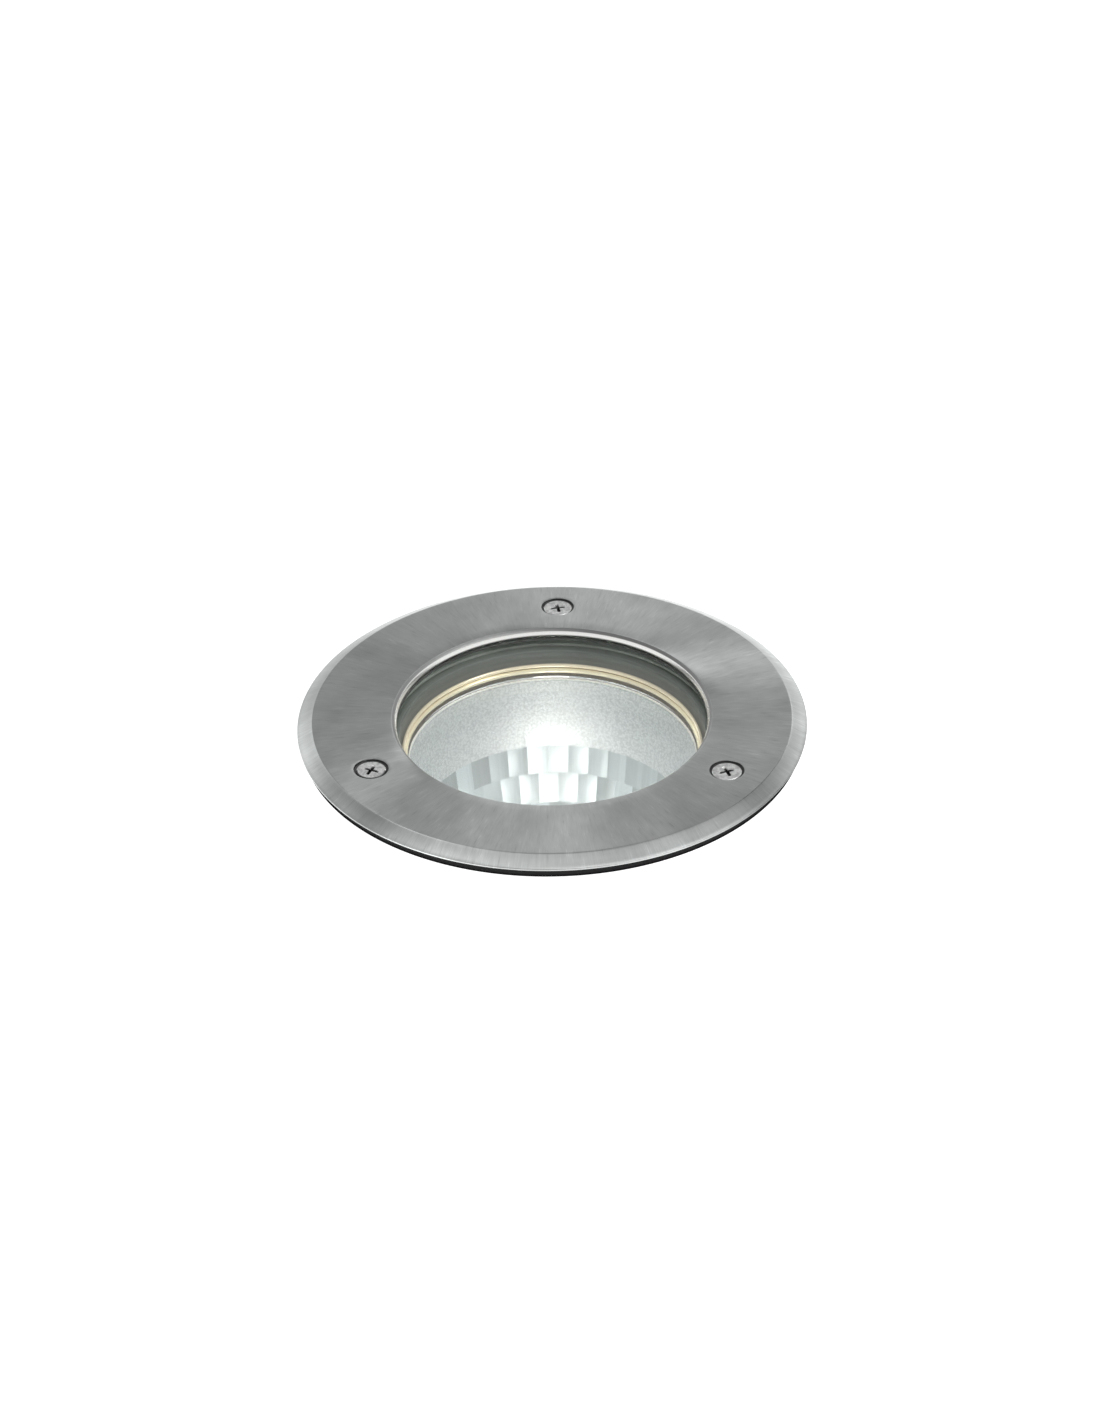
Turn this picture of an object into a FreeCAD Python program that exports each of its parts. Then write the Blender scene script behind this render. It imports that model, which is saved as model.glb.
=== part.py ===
import FreeCAD, Part
import math
import os

# In-ground light, in millimetres. +Z is up and the origin is on the axis at ground level.
# Everything below zero is in the ground, and only the steel bezel and the black rim stand above it.

# Bezel: a brushed steel ring with a bevelled edge and a polished lip round the opening
bezel_overhang = 1.6
bezel_thickness = 3.0
bezel_edge_height = 0.5
bezel_bevel_width = 4.8
opening_step = 0.5
lip_width = 1.2
lip_height = 2.3
lip_groove_width = 0.25
lip_groove_depth = 0.4
lip_roll_width = 4.0
lip_roll_drop = 0.22

# Bezel screws: countersunk, cross recess, held captive by a washer under the bezel
screw_count = 3
screw_circle_step = 14.1
first_screw_angle = 90.0
screw_head_radius = 4.6
screw_head_edge = 0.3
screw_thread_radius = 2.5
screw_length = 17.0
screw_point_height = 1.0
screw_hole_radius = 2.8
countersink_radius = 5.55
countersink_gap = 0.2
spot_face_room = 0.8
spot_face_depth = 0.8
recess_span = 2.7
recess_foot_span = 1.3
recess_wing_width = 1.0
recess_depth = 1.7
washer_radius = 4.4
washer_thickness = 1.2
washer_gap = 0.3

# Clearances and seats
seat_gap = 0.25
running_gap = 0.3
thread_gap = 0.25
cut_overrun = 1.0

# Mounting sleeve: the ribbed plastic pot that stays in the ground
sleeve_rim_width = 4.2
sleeve_rim_thickness = 2.6
sleeve_collar_gap = 0.8
sleeve_collar_wall = 2.4
sleeve_wall = 2.5
sleeve_depth = 176.0
sleeve_foot_width = 9.0
sleeve_foot_thickness = 3.0
sleeve_rib_count = 12
sleeve_rib_thickness = 2.4
sleeve_rib_gap = 4.0
sleeve_hoop_height = 3.0
sleeve_hoop_count = 2
cable_slot_width = 24.0
cable_slot_height = 32.0

# Glass and the channel gasket round its edge
glass_overlap = 6.2
glass_thickness = 6.0
glass_arris = 0.5
gasket_lip = 1.0
gasket_web = 1.9
gasket_top_step = 0.15
gasket_bottom_step = 2.2

# Support ring under the glass, with the neck that the lamp looks through
ring_plate = 2.0
neck_gap = 0.8
neck_wall = 1.5
neck_height = 9.0
ring_seat_width = 2.0

# Housing: a ribbed cast can with a screw collar at the top and a thick floor
collar_margin = 8.1
collar_height = 11.0
housing_wall = 3.4
housing_floor = 4.0
housing_corner = 7.0
fin_count = 24
fin_depth = 5.0
fin_thickness = 2.2
fin_foot_gap = 10.0
boss_radius = 5.3
boss_length = 20.0
boss_taper_height = 8.0
entry_boss_radius = 16.0
entry_boss_height = 3.0
chamber_draft = 1.5

# Lamp: a reflector lamp with a screw cap
lamp_drop = 5.25
lamp_rim_radius = 47.5
upper_bead_radius = 0.6
lower_bead_radius = 0.62
bead_step_in = 0.45
bead_step_down = 1.6
rim_skirt_height = 8.0
rim_skirt_wall = 0.5
lens_lap = 0.85
lens_thickness = 3.0
lens_drop = 3.95
lamp_edge = 2.05
stipple_height = 24.6
stipple_slope = 0.0776
facet_count = 40
facet_row_heights = (10.0, 10.0, 6.0, 4.0, 2.4)
facet_row_slopes = (0.14, 0.27, 0.60, 1.50, 3.60)
bowl_wall = 1.5
bowl_floor = 3.0
bowl_hole_radius = 8.0
bowl_neck_radius = 15.5
bowl_neck_height = 5.0

# Burner inside the lamp
burner_radius = 5.5
burner_length = 20.0
burner_drop = 30.0
burner_tip_radius = 1.6
burner_dome_shares = ((1.0, 0.5), (0.8, 0.2), (0.4, 0.0))
burner_tip_height = 3.0
pinch_width = 9.0
pinch_thickness = 3.0
pinch_height = 6.0
lead_radius = 0.6
lead_spread = 3.0
burner_base_radius = 7.7
burner_base_height = 3.0

# Lamp cap
cap_collar_radius = 16.0
cap_collar_height = 4.0
cap_radius = 13.1
cap_height = 21.0
cap_wall = 0.6
insulator_radius = 11.5
insulator_foot_radius = 6.0
insulator_height = 3.5
tip_radius = 4.6
tip_height = 1.5

# Lamp holder
holder_wall = 5.0
holder_rise = 18.0
holder_floor = 7.0
holder_chamfer = 2.0
shell_wall = 0.6
shell_room = 0.5
contact_radius = 5.0
contact_height = 1.6
plunger_radius = 2.0
plunger_length = 8.0
contact_turn_rise = 3.6

# Holder bracket and its screws
bracket_width = 26.0
bracket_thickness = 2.0
bracket_wall_gap = 5.7
bracket_foot_length = 14.0
bracket_height = 18.0
bracket_bend_radius = 3.0
bracket_hole_radius = 2.3
small_screw_radius = 2.0
small_screw_length = 7.0
small_head_radius = 3.6
small_head_height = 2.4
small_slot_width = 0.9
small_slot_depth = 1.1
pad_radius = 6.0
pad_height = 5.0

# Terminal block and earth stud
terminal_length = 30.0
terminal_width = 17.0
terminal_height = 12.0
terminal_pole_count = 3
terminal_pole_gap = 2.0
terminal_pole_lift = 2.5
terminal_wire_radius = 1.8
terminal_screw_radius = 1.7
terminal_screw_height = 2.5
terminal_wall_gap = 22.7
terminal_edge = 1.2
earth_wall_gap = 7.7
earth_washer_radius = 5.0
earth_washer_thickness = 1.0

# Cable gland and blanking plug, both in 20 mm entries
entry_radius = 10.0
entry_wall_gap = 0.15
gland_stub_length = 9.0
gland_hex_flats = 24.0
gland_hex_height = 6.0
gland_bore_radius = 6.5
gland_nut_flats = 22.0
gland_nut_hex_height = 8.0
gland_nut_dome_height = 7.0
gland_nut_mouth_radius = 6.0
gland_nut_wall = 2.0
cable_bore_radius = 4.5
seal_length = 9.0
o_ring_width = 1.6
plug_head_height = 5.0
plug_chamfer = 1.0

# Levels, from the ground downwards
bezel_bottom = sleeve_rim_thickness + seat_gap
bezel_top = bezel_bottom + bezel_thickness
housing_top = sleeve_rim_thickness
gasket_top = bezel_bottom - seat_gap
glass_top = gasket_top - gasket_lip
glass_bottom = glass_top - glass_thickness
gasket_bottom = glass_bottom - gasket_lip
ring_top = gasket_bottom - seat_gap
ring_bottom = ring_top - ring_plate
lamp_top = glass_bottom - lamp_drop
lens_top = lamp_top - lens_drop
mouth_level = lens_top - lens_thickness
facet_top = mouth_level - stipple_height
bowl_bottom = facet_top - sum(facet_row_heights)
bowl_floor_bottom = bowl_bottom - bowl_floor
cap_collar_top = bowl_floor_bottom - bowl_neck_height
cap_top = cap_collar_top - cap_collar_height
cap_bottom = cap_top - cap_height
tip_bottom = cap_bottom - insulator_height - tip_height
holder_top = cap_bottom + holder_rise
contact_top = tip_bottom - running_gap / 2
contact_bottom = contact_top - contact_height
holder_cup_bottom = contact_bottom - running_gap
holder_bottom = holder_cup_bottom - holder_floor
floor_top = holder_bottom - bracket_height - pad_height
floor_bottom = floor_top - housing_floor
entry_face = floor_bottom - entry_boss_height

# Radii worked out from the pieces that fit in each other, from the lamp outwards
mouth_radius = lamp_rim_radius - lamp_edge
lens_radius = mouth_radius + lens_lap
neck_radius = lamp_rim_radius + neck_gap
opening_radius = neck_radius + opening_step
screw_circle_radius = opening_radius + screw_circle_step
collar_radius = screw_circle_radius + collar_margin
sleeve_collar_inner = collar_radius + sleeve_collar_gap
sleeve_collar_radius = sleeve_collar_inner + sleeve_collar_wall
sleeve_rim_radius = sleeve_collar_radius + sleeve_rim_width
bezel_radius = sleeve_rim_radius + bezel_overhang
glass_radius = opening_radius + glass_overlap
gasket_top_opening = opening_radius + gasket_top_step
gasket_bottom_opening = opening_radius + gasket_bottom_step
gasket_radius = glass_radius + gasket_web
recess_radius = gasket_radius + running_gap
ring_radius = recess_radius - running_gap / 2
chamber_radius = recess_radius - ring_seat_width
body_radius = chamber_radius + housing_wall
sleeve_inner = screw_circle_radius + boss_radius + running_gap * 2
sleeve_radius = sleeve_inner + sleeve_wall
sleeve_ledge = housing_top - collar_height - seat_gap
sleeve_bottom = -sleeve_depth
shell_inner = cap_radius + running_gap
shell_outer = shell_inner + shell_wall
holder_bore = shell_outer + shell_room
holder_radius = holder_bore + holder_wall
stipple_foot_radius = mouth_radius - stipple_height * stipple_slope
chamber_foot_radius = chamber_radius - chamber_draft
bracket_half_span = chamber_foot_radius - bracket_foot_length - bracket_wall_gap
entry_offset = bracket_half_span - entry_radius
earth_offset = chamber_foot_radius - pad_radius - earth_wall_gap
terminal_offset = chamber_foot_radius - terminal_wall_gap

UP = FreeCAD.Vector(0, 0, 1)


def at(x, y, z):
    return FreeCAD.Vector(x, y, z)


def on_circle(radius, angle, z):
    turn = math.radians(angle)
    return at(radius * math.cos(turn), radius * math.sin(turn), z)


def revolved(outline):
    # Turns a closed outline of (radius, level) points about the axis.
    corners = [at(radius, 0, level) for radius, level in outline]
    face = Part.Face(Part.makePolygon(corners + corners[:1]))
    return face.revolve(at(0, 0, 0), UP, 360)


def disc(radius, low, high, x=0, y=0):
    return Part.makeCylinder(radius, high - low, at(x, y, low))


def tube(inner, outer, low, high):
    return revolved([(inner, low), (outer, low), (outer, high), (inner, high)])


def block(length, width, low, high, x=0, y=0):
    # A box centred on x and y.
    corner = at(x - length / 2, y - width / 2, low)
    return Part.makeBox(length, width, high - low, corner)


def turned(shape, angle):
    copy = shape.copy()
    copy.rotate(at(0, 0, 0), UP, angle)
    return copy


def moved(shape, x, y, z=0):
    copy = shape.copy()
    copy.translate(at(x, y, z))
    return copy


def ring_of(shape, count, first_angle=0):
    # Copies of one shape spaced evenly about the axis.
    step = 360 / count
    return [turned(shape, first_angle + step * index) for index in range(count)]


def joined(shapes):
    result = shapes[0]
    for shape in shapes[1:]:
        result = result.fuse(shape)
    return result.removeSplitter()


def without(shape, cutters):
    for cutter in cutters:
        shape = shape.cut(cutter)
    return shape


def hexagon(flats, low, high):
    corner_radius = flats / 2 / math.cos(math.radians(30))
    corners = [on_circle(corner_radius, 60 * index, low) for index in range(6)]
    face = Part.Face(Part.makePolygon(corners + corners[:1]))
    return face.extrude(at(0, 0, high - low))


def screw_angles():
    step = 360 / screw_count
    return [first_screw_angle + step * index for index in range(screw_count)]


# Bezel


def make_bezel():
    # The flat rolls down a little to a fine groove, and the polished lip falls away inside the groove.
    rolled_top = bezel_top - lip_roll_drop
    lip_radius = opening_radius + lip_width
    groove_radius = lip_radius + lip_groove_width
    ring = revolved([
        (opening_radius, bezel_bottom),
        (bezel_radius, bezel_bottom),
        (bezel_radius, bezel_bottom + bezel_edge_height),
        (bezel_radius - bezel_bevel_width, bezel_top),
        (groove_radius + lip_roll_width, bezel_top),
        (groove_radius, rolled_top),
        (groove_radius, rolled_top - lip_groove_depth),
        (lip_radius, rolled_top - lip_groove_depth),
        (lip_radius, rolled_top),
        (opening_radius + lip_width * 2 / 3, rolled_top - lip_height / 5),
        (opening_radius, rolled_top - lip_height),
    ])
    ledge = bezel_top - spot_face_depth
    hole = revolved([
        (0, bezel_bottom - cut_overrun),
        (screw_hole_radius, bezel_bottom - cut_overrun),
        (screw_hole_radius, bezel_top - countersink_radius + screw_hole_radius),
        (countersink_radius - spot_face_depth, ledge),
        (screw_head_radius + spot_face_room, ledge),
        (screw_head_radius + spot_face_room, bezel_top + cut_overrun),
        (0, bezel_top + cut_overrun),
    ])
    hole = moved(hole, screw_circle_radius, 0)
    return without(ring, ring_of(hole, screw_count, first_screw_angle))


def cross_recess(top):
    # Two tapered wings at right angles, as a cross-head driver leaves them.
    half = recess_wing_width / 2
    low = top - recess_depth
    corners = [
        at(-recess_span, -half, top),
        at(recess_span, -half, top),
        at(recess_foot_span, -half, low),
        at(-recess_foot_span, -half, low),
    ]
    face = Part.Face(Part.makePolygon(corners + corners[:1]))
    wing = face.extrude(at(0, recess_wing_width, 0))
    return [wing, turned(wing, 90)]


def make_bezel_screw(angle):
    edge_bottom = bezel_top - (countersink_radius - screw_head_radius - countersink_gap)
    head_top = edge_bottom + screw_head_edge
    cone_bottom = edge_bottom - (screw_head_radius - screw_thread_radius)
    end = head_top - screw_length
    screw = revolved([
        (0, end),
        (screw_thread_radius - screw_point_height, end),
        (screw_thread_radius, end + screw_point_height),
        (screw_thread_radius, cone_bottom),
        (screw_head_radius, edge_bottom),
        (screw_head_radius, head_top),
        (0, head_top),
    ])
    screw = without(screw, cross_recess(head_top))
    return turned(moved(screw, screw_circle_radius, 0), angle)


def make_captive_washers():
    washer = tube(screw_thread_radius + running_gap, washer_radius, bezel_bottom - washer_thickness, bezel_bottom)
    washer = moved(washer, screw_circle_radius, 0)
    return Part.makeCompound(ring_of(washer, screw_count, first_screw_angle))


# Glass and gasket


def make_glass():
    return revolved([
        (0, glass_bottom),
        (glass_radius - glass_arris, glass_bottom),
        (glass_radius, glass_bottom + glass_arris),
        (glass_radius, glass_top - glass_arris),
        (glass_radius - glass_arris, glass_top),
        (0, glass_top),
    ])


def make_gasket():
    return revolved([
        (gasket_bottom_opening, gasket_bottom),
        (gasket_radius, gasket_bottom),
        (gasket_radius, gasket_top),
        (gasket_top_opening, gasket_top),
        (gasket_top_opening, glass_top),
        (glass_radius, glass_top),
        (glass_radius, glass_bottom),
        (gasket_bottom_opening, glass_bottom),
    ])


def make_support_ring():
    neck_bottom = ring_top - neck_height
    neck_outer = neck_radius + neck_wall
    return revolved([
        (neck_radius, neck_bottom),
        (neck_outer, neck_bottom),
        (neck_outer, ring_bottom),
        (ring_radius, ring_bottom),
        (ring_radius, ring_top),
        (neck_radius, ring_top),
    ])


# Mounting sleeve


def make_sleeve_shell():
    return revolved([
        (sleeve_inner - sleeve_foot_width, sleeve_bottom),
        (sleeve_radius, sleeve_bottom),
        (sleeve_radius, sleeve_ledge - sleeve_wall),
        (sleeve_collar_radius, sleeve_ledge),
        (sleeve_collar_radius, 0),
        (sleeve_rim_radius, 0),
        (sleeve_rim_radius, sleeve_rim_thickness),
        (sleeve_collar_inner, sleeve_rim_thickness),
        (sleeve_collar_inner, sleeve_ledge),
        (sleeve_inner, sleeve_ledge),
        (sleeve_inner, sleeve_bottom + sleeve_foot_thickness),
        (sleeve_inner - sleeve_foot_width, sleeve_bottom + sleeve_foot_thickness),
    ])


def make_sleeve():
    shell = make_sleeve_shell()
    rib_low = sleeve_bottom + sleeve_rib_gap
    rib_high = sleeve_ledge - sleeve_rib_gap
    rib_reach = sleeve_collar_radius - sleeve_inner - sleeve_wall / 2
    rib_centre = sleeve_collar_radius - rib_reach / 2
    rib = block(rib_reach, sleeve_rib_thickness, rib_low, rib_high, rib_centre)
    ribs = ring_of(rib, sleeve_rib_count, 180 / sleeve_rib_count)
    hoop_step = (rib_high - rib_low) / (sleeve_hoop_count + 1)
    hoops = []
    for index in range(sleeve_hoop_count):
        low = rib_low + hoop_step * (index + 1)
        hoops.append(tube(sleeve_radius - sleeve_wall / 2, sleeve_collar_radius, low, low + sleeve_hoop_height))
    slot_high = sleeve_bottom + cable_slot_height
    slot = block(sleeve_collar_radius * 2 + cut_overrun, cable_slot_width, sleeve_bottom - cut_overrun, slot_high)
    return without(joined([shell] + ribs + hoops), [slot])


# Housing


def housing_hollow():
    # The chamber for the lamp with the wider recess for the glass above it.
    return revolved([
        (0, floor_top),
        (chamber_foot_radius, floor_top),
        (chamber_radius, ring_bottom),
        (recess_radius, ring_bottom),
        (recess_radius, housing_top + cut_overrun),
        (0, housing_top + cut_overrun),
    ])


def make_housing_can():
    # The can's outline with its floor, wall, glass recess and collar.
    foot_radius = body_radius - chamber_draft
    can = revolved([
        (0, floor_bottom),
        (foot_radius, floor_bottom),
        (body_radius, housing_top - collar_height),
        (collar_radius, housing_top - collar_height),
        (collar_radius, housing_top),
        (0, housing_top),
    ])
    corner_edges = [edge for edge in can.Edges if abs(edge.CenterOfMass.z - floor_bottom) < seat_gap]
    return can.makeFillet(housing_corner, corner_edges).cut(housing_hollow())


def make_boss():
    boss_bottom = housing_top - collar_height - boss_length
    boss = revolved([
        (0, boss_bottom - boss_taper_height),
        (boss_radius / 2, boss_bottom - boss_taper_height),
        (boss_radius, boss_bottom),
        (boss_radius, housing_top),
        (0, housing_top),
    ])
    return moved(boss, screw_circle_radius, 0)


def make_fins():
    reach = fin_depth + housing_wall / 2
    centre = body_radius + fin_depth - reach / 2
    low = floor_bottom + fin_foot_gap
    high = housing_top - collar_height
    fin = block(reach, fin_thickness, low, high, centre)
    slope = revolved([
        (body_radius - chamber_draft, low),
        (body_radius + fin_depth + cut_overrun, low),
        (body_radius + fin_depth + cut_overrun, low + fin_foot_gap),
    ])
    tapered = fin.cut(slope).Solids[0]
    fins = ring_of(tapered, fin_count, 180 / fin_count)
    return [fin for fin in fins if clear_of_bosses(fin)]


def make_housing_fins():
    # The ribs that stand on the can's wall, each one ending where the wall begins.
    can = make_housing_can()
    return Part.makeCompound([fin.cut(can).Solids[0] for fin in make_fins()])


def clear_of_bosses(fin):
    centre = fin.CenterOfMass
    for angle in screw_angles():
        boss = on_circle(screw_circle_radius, angle, centre.z)
        if centre.distanceToPoint(boss) < boss_radius + fin_thickness:
            return False
    return True


def housing_holes():
    cutters = []
    thread_depth = screw_length + thread_gap * 2
    hole = disc(screw_thread_radius + thread_gap, housing_top - thread_depth, housing_top + cut_overrun)
    pocket = disc(washer_radius + washer_gap, housing_top - washer_thickness, housing_top + cut_overrun)
    for angle in screw_angles():
        place = on_circle(screw_circle_radius, angle, 0)
        cutters.append(moved(hole, place.x, place.y))
        cutters.append(moved(pocket, place.x, place.y))
    for x in (-entry_offset, entry_offset):
        cutters.append(disc(entry_radius, entry_face - cut_overrun, floor_top + cut_overrun, x))
    return cutters


def bracket_pads():
    x = bracket_half_span + bracket_foot_length / 2
    return [disc(pad_radius, floor_top - housing_floor / 2, floor_top + pad_height, side * x) for side in (-1, 1)]


def make_housing():
    can = make_housing_can()
    bosses = ring_of(make_boss(), screw_count, first_screw_angle)
    entries = []
    for x in (-entry_offset, entry_offset):
        entries.append(disc(entry_boss_radius, entry_face, floor_bottom + housing_floor / 2, x))
    earth_pad = disc(pad_radius, floor_top - housing_floor / 2, floor_top + pad_height, 0, -earth_offset)
    solid = joined([can] + entries + bracket_pads() + [earth_pad])
    inside = housing_hollow()
    for boss in bosses:
        solid = solid.fuse(boss.cut(inside))
    tapped = []
    for x, y in small_screw_places():
        low = floor_top + pad_height - small_screw_length
        tapped.append(disc(small_screw_radius, low, floor_top + pad_height + cut_overrun, x, y))
    return without(solid.removeSplitter(), housing_holes() + tapped)


def small_screw_places():
    x = bracket_half_span + bracket_foot_length / 2
    return [(-x, 0), (x, 0), (0, -earth_offset)]


# Lamp reflector


def facet_lines():
    # Each row's middle line as radius = start + slope * level.
    lines = []
    level = facet_top
    radius = stipple_foot_radius
    for height, slope in zip(facet_row_heights, facet_row_slopes):
        lines.append((radius - slope * level, slope))
        level -= height
        radius -= slope * height
    return lines, level, radius


def meeting_level(edge_line, middle_line, spread):
    # The level where one row's edge, wider by spread, meets the middle of the row beside it.
    start_a, slope_a = edge_line
    start_b, slope_b = middle_line
    return (start_b - start_a * spread) / (slope_a * spread - slope_b)


def zigzag(upper, lower, first_angle):
    # The border between two staggered rows: points at the upper row's edges and middles by turns.
    step = 360 / facet_count
    spread = 1 / math.cos(math.radians(step / 2))
    edge_level = meeting_level(upper, lower, spread)
    middle_level = meeting_level(lower, upper, spread)
    edge_radius = lower[0] + lower[1] * edge_level
    middle_radius = upper[0] + upper[1] * middle_level
    points = []
    for index in range(facet_count):
        middle = first_angle + step * index
        points.append(on_circle(middle_radius, middle, middle_level))
        points.append(on_circle(edge_radius, middle + step / 2, edge_level))
    return points


def facet_ring(line, level, first_angle):
    # A level polygon with its corners on the edges between the facets of one row.
    step = 360 / facet_count
    spread = 1 / math.cos(math.radians(step / 2))
    radius = (line[0] + line[1] * level) * spread
    return [on_circle(radius, first_angle + step * (index + 0.5), level) for index in range(facet_count)]


def polygon_face(points):
    return Part.Face(Part.makePolygon(points + points[:1]))


def facet_faces(row, row_count, borders, rims, first_angle):
    # The flat faces of one row: six-sided between two zigzags, five-sided beside a level rim.
    faces = []
    for index in range(facet_count):
        before = index - 1
        outline = []
        if row == 0:
            outline += [rims[0][before], rims[0][index]]
        else:
            above = borders[row - 1]
            shift = index if row % 2 else index - 1
            left = above[(2 * shift) % len(above)]
            peak = above[(2 * shift + 1) % len(above)]
            right = above[(2 * shift + 2) % len(above)]
            outline += [left, peak, right]
        if row == row_count - 1:
            outline += [rims[1][index], rims[1][before]]
        else:
            below = borders[row]
            outline += [below[(2 * index + 1) % len(below)], below[2 * index], below[2 * index - 1]]
        faces.append(polygon_face(outline))
    return faces


def faceted_cavity():
    # Flat facets that all touch one bowl, in staggered rows, make a closed many-sided body.
    lines, low_level, low_radius = facet_lines()
    step = 360 / facet_count
    row_count = len(lines)
    starts = [first_screw_angle + (row % 2) * step / 2 for row in range(row_count)]
    borders = [zigzag(lines[row], lines[row + 1], starts[row]) for row in range(row_count - 1)]
    top_level = mouth_level + cut_overrun
    rims = [
        facet_ring(lines[0], top_level, starts[0]),
        facet_ring(lines[-1], low_level, starts[-1]),
    ]
    faces = [polygon_face(rims[0]), polygon_face(rims[1])]
    for row in range(row_count):
        faces += facet_faces(row, row_count, borders, rims, starts[row])
    shell = Part.makeShell(faces)
    shell.sewShape()
    solid = Part.makeSolid(shell)
    if solid.Volume < 0:
        solid.reverse()
    return solid


def stipple_cone():
    # The smooth upper wall's cone, carried down past the facets.
    height = mouth_level - bowl_bottom
    top_radius = mouth_radius + cut_overrun * stipple_slope
    low_radius = mouth_radius - height * stipple_slope
    return Part.makeCone(low_radius, top_radius, height + cut_overrun, at(0, 0, bowl_bottom))


def bowl_outer_outline():
    points = [at(mouth_radius + bowl_wall, 0, mouth_level), at(stipple_foot_radius + bowl_wall, 0, facet_top)]
    level = facet_top
    radius = stipple_foot_radius
    for height, slope in zip(facet_row_heights, facet_row_slopes):
        level -= height
        radius -= slope * height
        length = math.hypot(1, slope)
        points.append(at(radius + bowl_wall / length, 0, level - bowl_wall * slope / length))
    return points


def make_lamp_bowl():
    points = bowl_outer_outline()
    curve = Part.BSplineCurve()
    curve.interpolate(points)
    last = points[-1]
    corners = [last, at(bowl_neck_radius, 0, bowl_floor_bottom), at(bowl_neck_radius, 0, cap_collar_top)]
    corners += [at(0, 0, cap_collar_top), at(0, 0, mouth_level), points[0]]
    edges = [curve.toShape()]
    for start, end in zip(corners, corners[1:]):
        edges.append(Part.makeLine(start, end))
    face = Part.Face(Part.Wire(edges))
    outer = face.revolve(at(0, 0, 0), UP, 360)
    cavity = faceted_cavity().common(stipple_cone())
    hole = disc(bowl_hole_radius, cap_collar_top - cut_overrun, bowl_bottom + cut_overrun)
    return outer.cut(cavity).cut(hole)


def make_lamp_rim():
    # A thin rolled ring with two beads, crimped over the lens and the bowl's edge.
    skirt_outer = mouth_radius + bowl_wall + rim_skirt_wall
    upper_centre = lamp_rim_radius - upper_bead_radius
    upper_level = lamp_top - upper_bead_radius
    lower_centre = upper_centre - bead_step_in
    lower_level = upper_level - bead_step_down
    crimp_radius = lower_centre - lower_bead_radius * 3 / 4
    skirt_inner = mouth_radius + bowl_wall
    band = revolved([
        (crimp_radius, lens_top),
        (skirt_inner, lens_top),
        (skirt_inner, lens_top - rim_skirt_height),
        (skirt_outer, lens_top - rim_skirt_height),
        (skirt_outer, lens_top),
        (lamp_rim_radius, upper_level),
        (upper_centre, upper_level),
        (lower_centre, lower_level),
        (crimp_radius, lower_level),
    ])
    upper = Part.makeTorus(upper_centre, upper_bead_radius, at(0, 0, upper_level))
    lower = Part.makeTorus(lower_centre, lower_bead_radius, at(0, 0, lower_level))
    return joined([band, upper, lower])


def make_lens():
    return disc(lens_radius, mouth_level, lens_top)


# Burner


def make_burner():
    top = lens_top - burner_drop
    low = top - burner_length
    dome = [(burner_radius * out, top - burner_radius * down) for out, down in burner_dome_shares]
    outline = [(0, low), (burner_radius, low)] + dome
    outline += [(burner_tip_radius, top), (0, top + burner_tip_height)]
    capsule = revolved(outline)
    pinch = block(pinch_width, pinch_thickness, low - pinch_height, low + cut_overrun)
    return joined([capsule, pinch])


def burner_foot():
    return lens_top - burner_drop - burner_length - pinch_height


def make_burner_leads():
    base_top = bowl_bottom + running_gap
    leads = [disc(lead_radius, base_top, burner_foot(), side * lead_spread) for side in (-1, 1)]
    return Part.makeCompound(leads)


def make_burner_base():
    top = bowl_bottom + running_gap
    return disc(burner_base_radius, top - burner_base_height, top)


# Lamp cap


def make_cap_collar():
    return revolved([
        (0, cap_top),
        (cap_radius, cap_top),
        (cap_collar_radius, cap_collar_top),
        (0, cap_collar_top),
    ])


def make_cap():
    inner = cap_radius - cap_wall
    return tube(inner, cap_radius, cap_bottom, cap_top)


def make_cap_insulator():
    low = cap_bottom - insulator_height
    return revolved([
        (0, low),
        (insulator_foot_radius, low),
        (insulator_radius, cap_bottom),
        (0, cap_bottom),
    ])


def make_cap_tip():
    return revolved([
        (0, tip_bottom),
        (tip_radius / 2, tip_bottom),
        (tip_radius, tip_bottom + tip_height),
        (0, tip_bottom + tip_height),
    ])


# Lamp holder


def make_holder_body():
    bore = plunger_radius + running_gap
    return revolved([
        (bore, holder_bottom),
        (holder_radius, holder_bottom),
        (holder_radius, holder_top - holder_chamfer),
        (holder_radius - holder_chamfer, holder_top),
        (holder_bore, holder_top),
        (holder_bore, holder_cup_bottom),
        (bore, holder_cup_bottom),
    ])


def make_holder_shell():
    return revolved([
        (shell_inner, cap_bottom),
        (holder_bore, cap_bottom),
        (holder_bore, cap_bottom + shell_wall),
        (shell_outer, cap_bottom + shell_wall),
        (shell_outer, holder_top - shell_wall),
        (holder_bore, holder_top - shell_wall),
        (holder_bore, holder_top),
        (shell_inner, holder_top),
    ])


def make_centre_contact():
    plunger = disc(plunger_radius, contact_bottom - plunger_length, contact_bottom)
    return joined([disc(contact_radius, contact_bottom, contact_top), plunger])


# Bracket, wiring and earth


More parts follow.
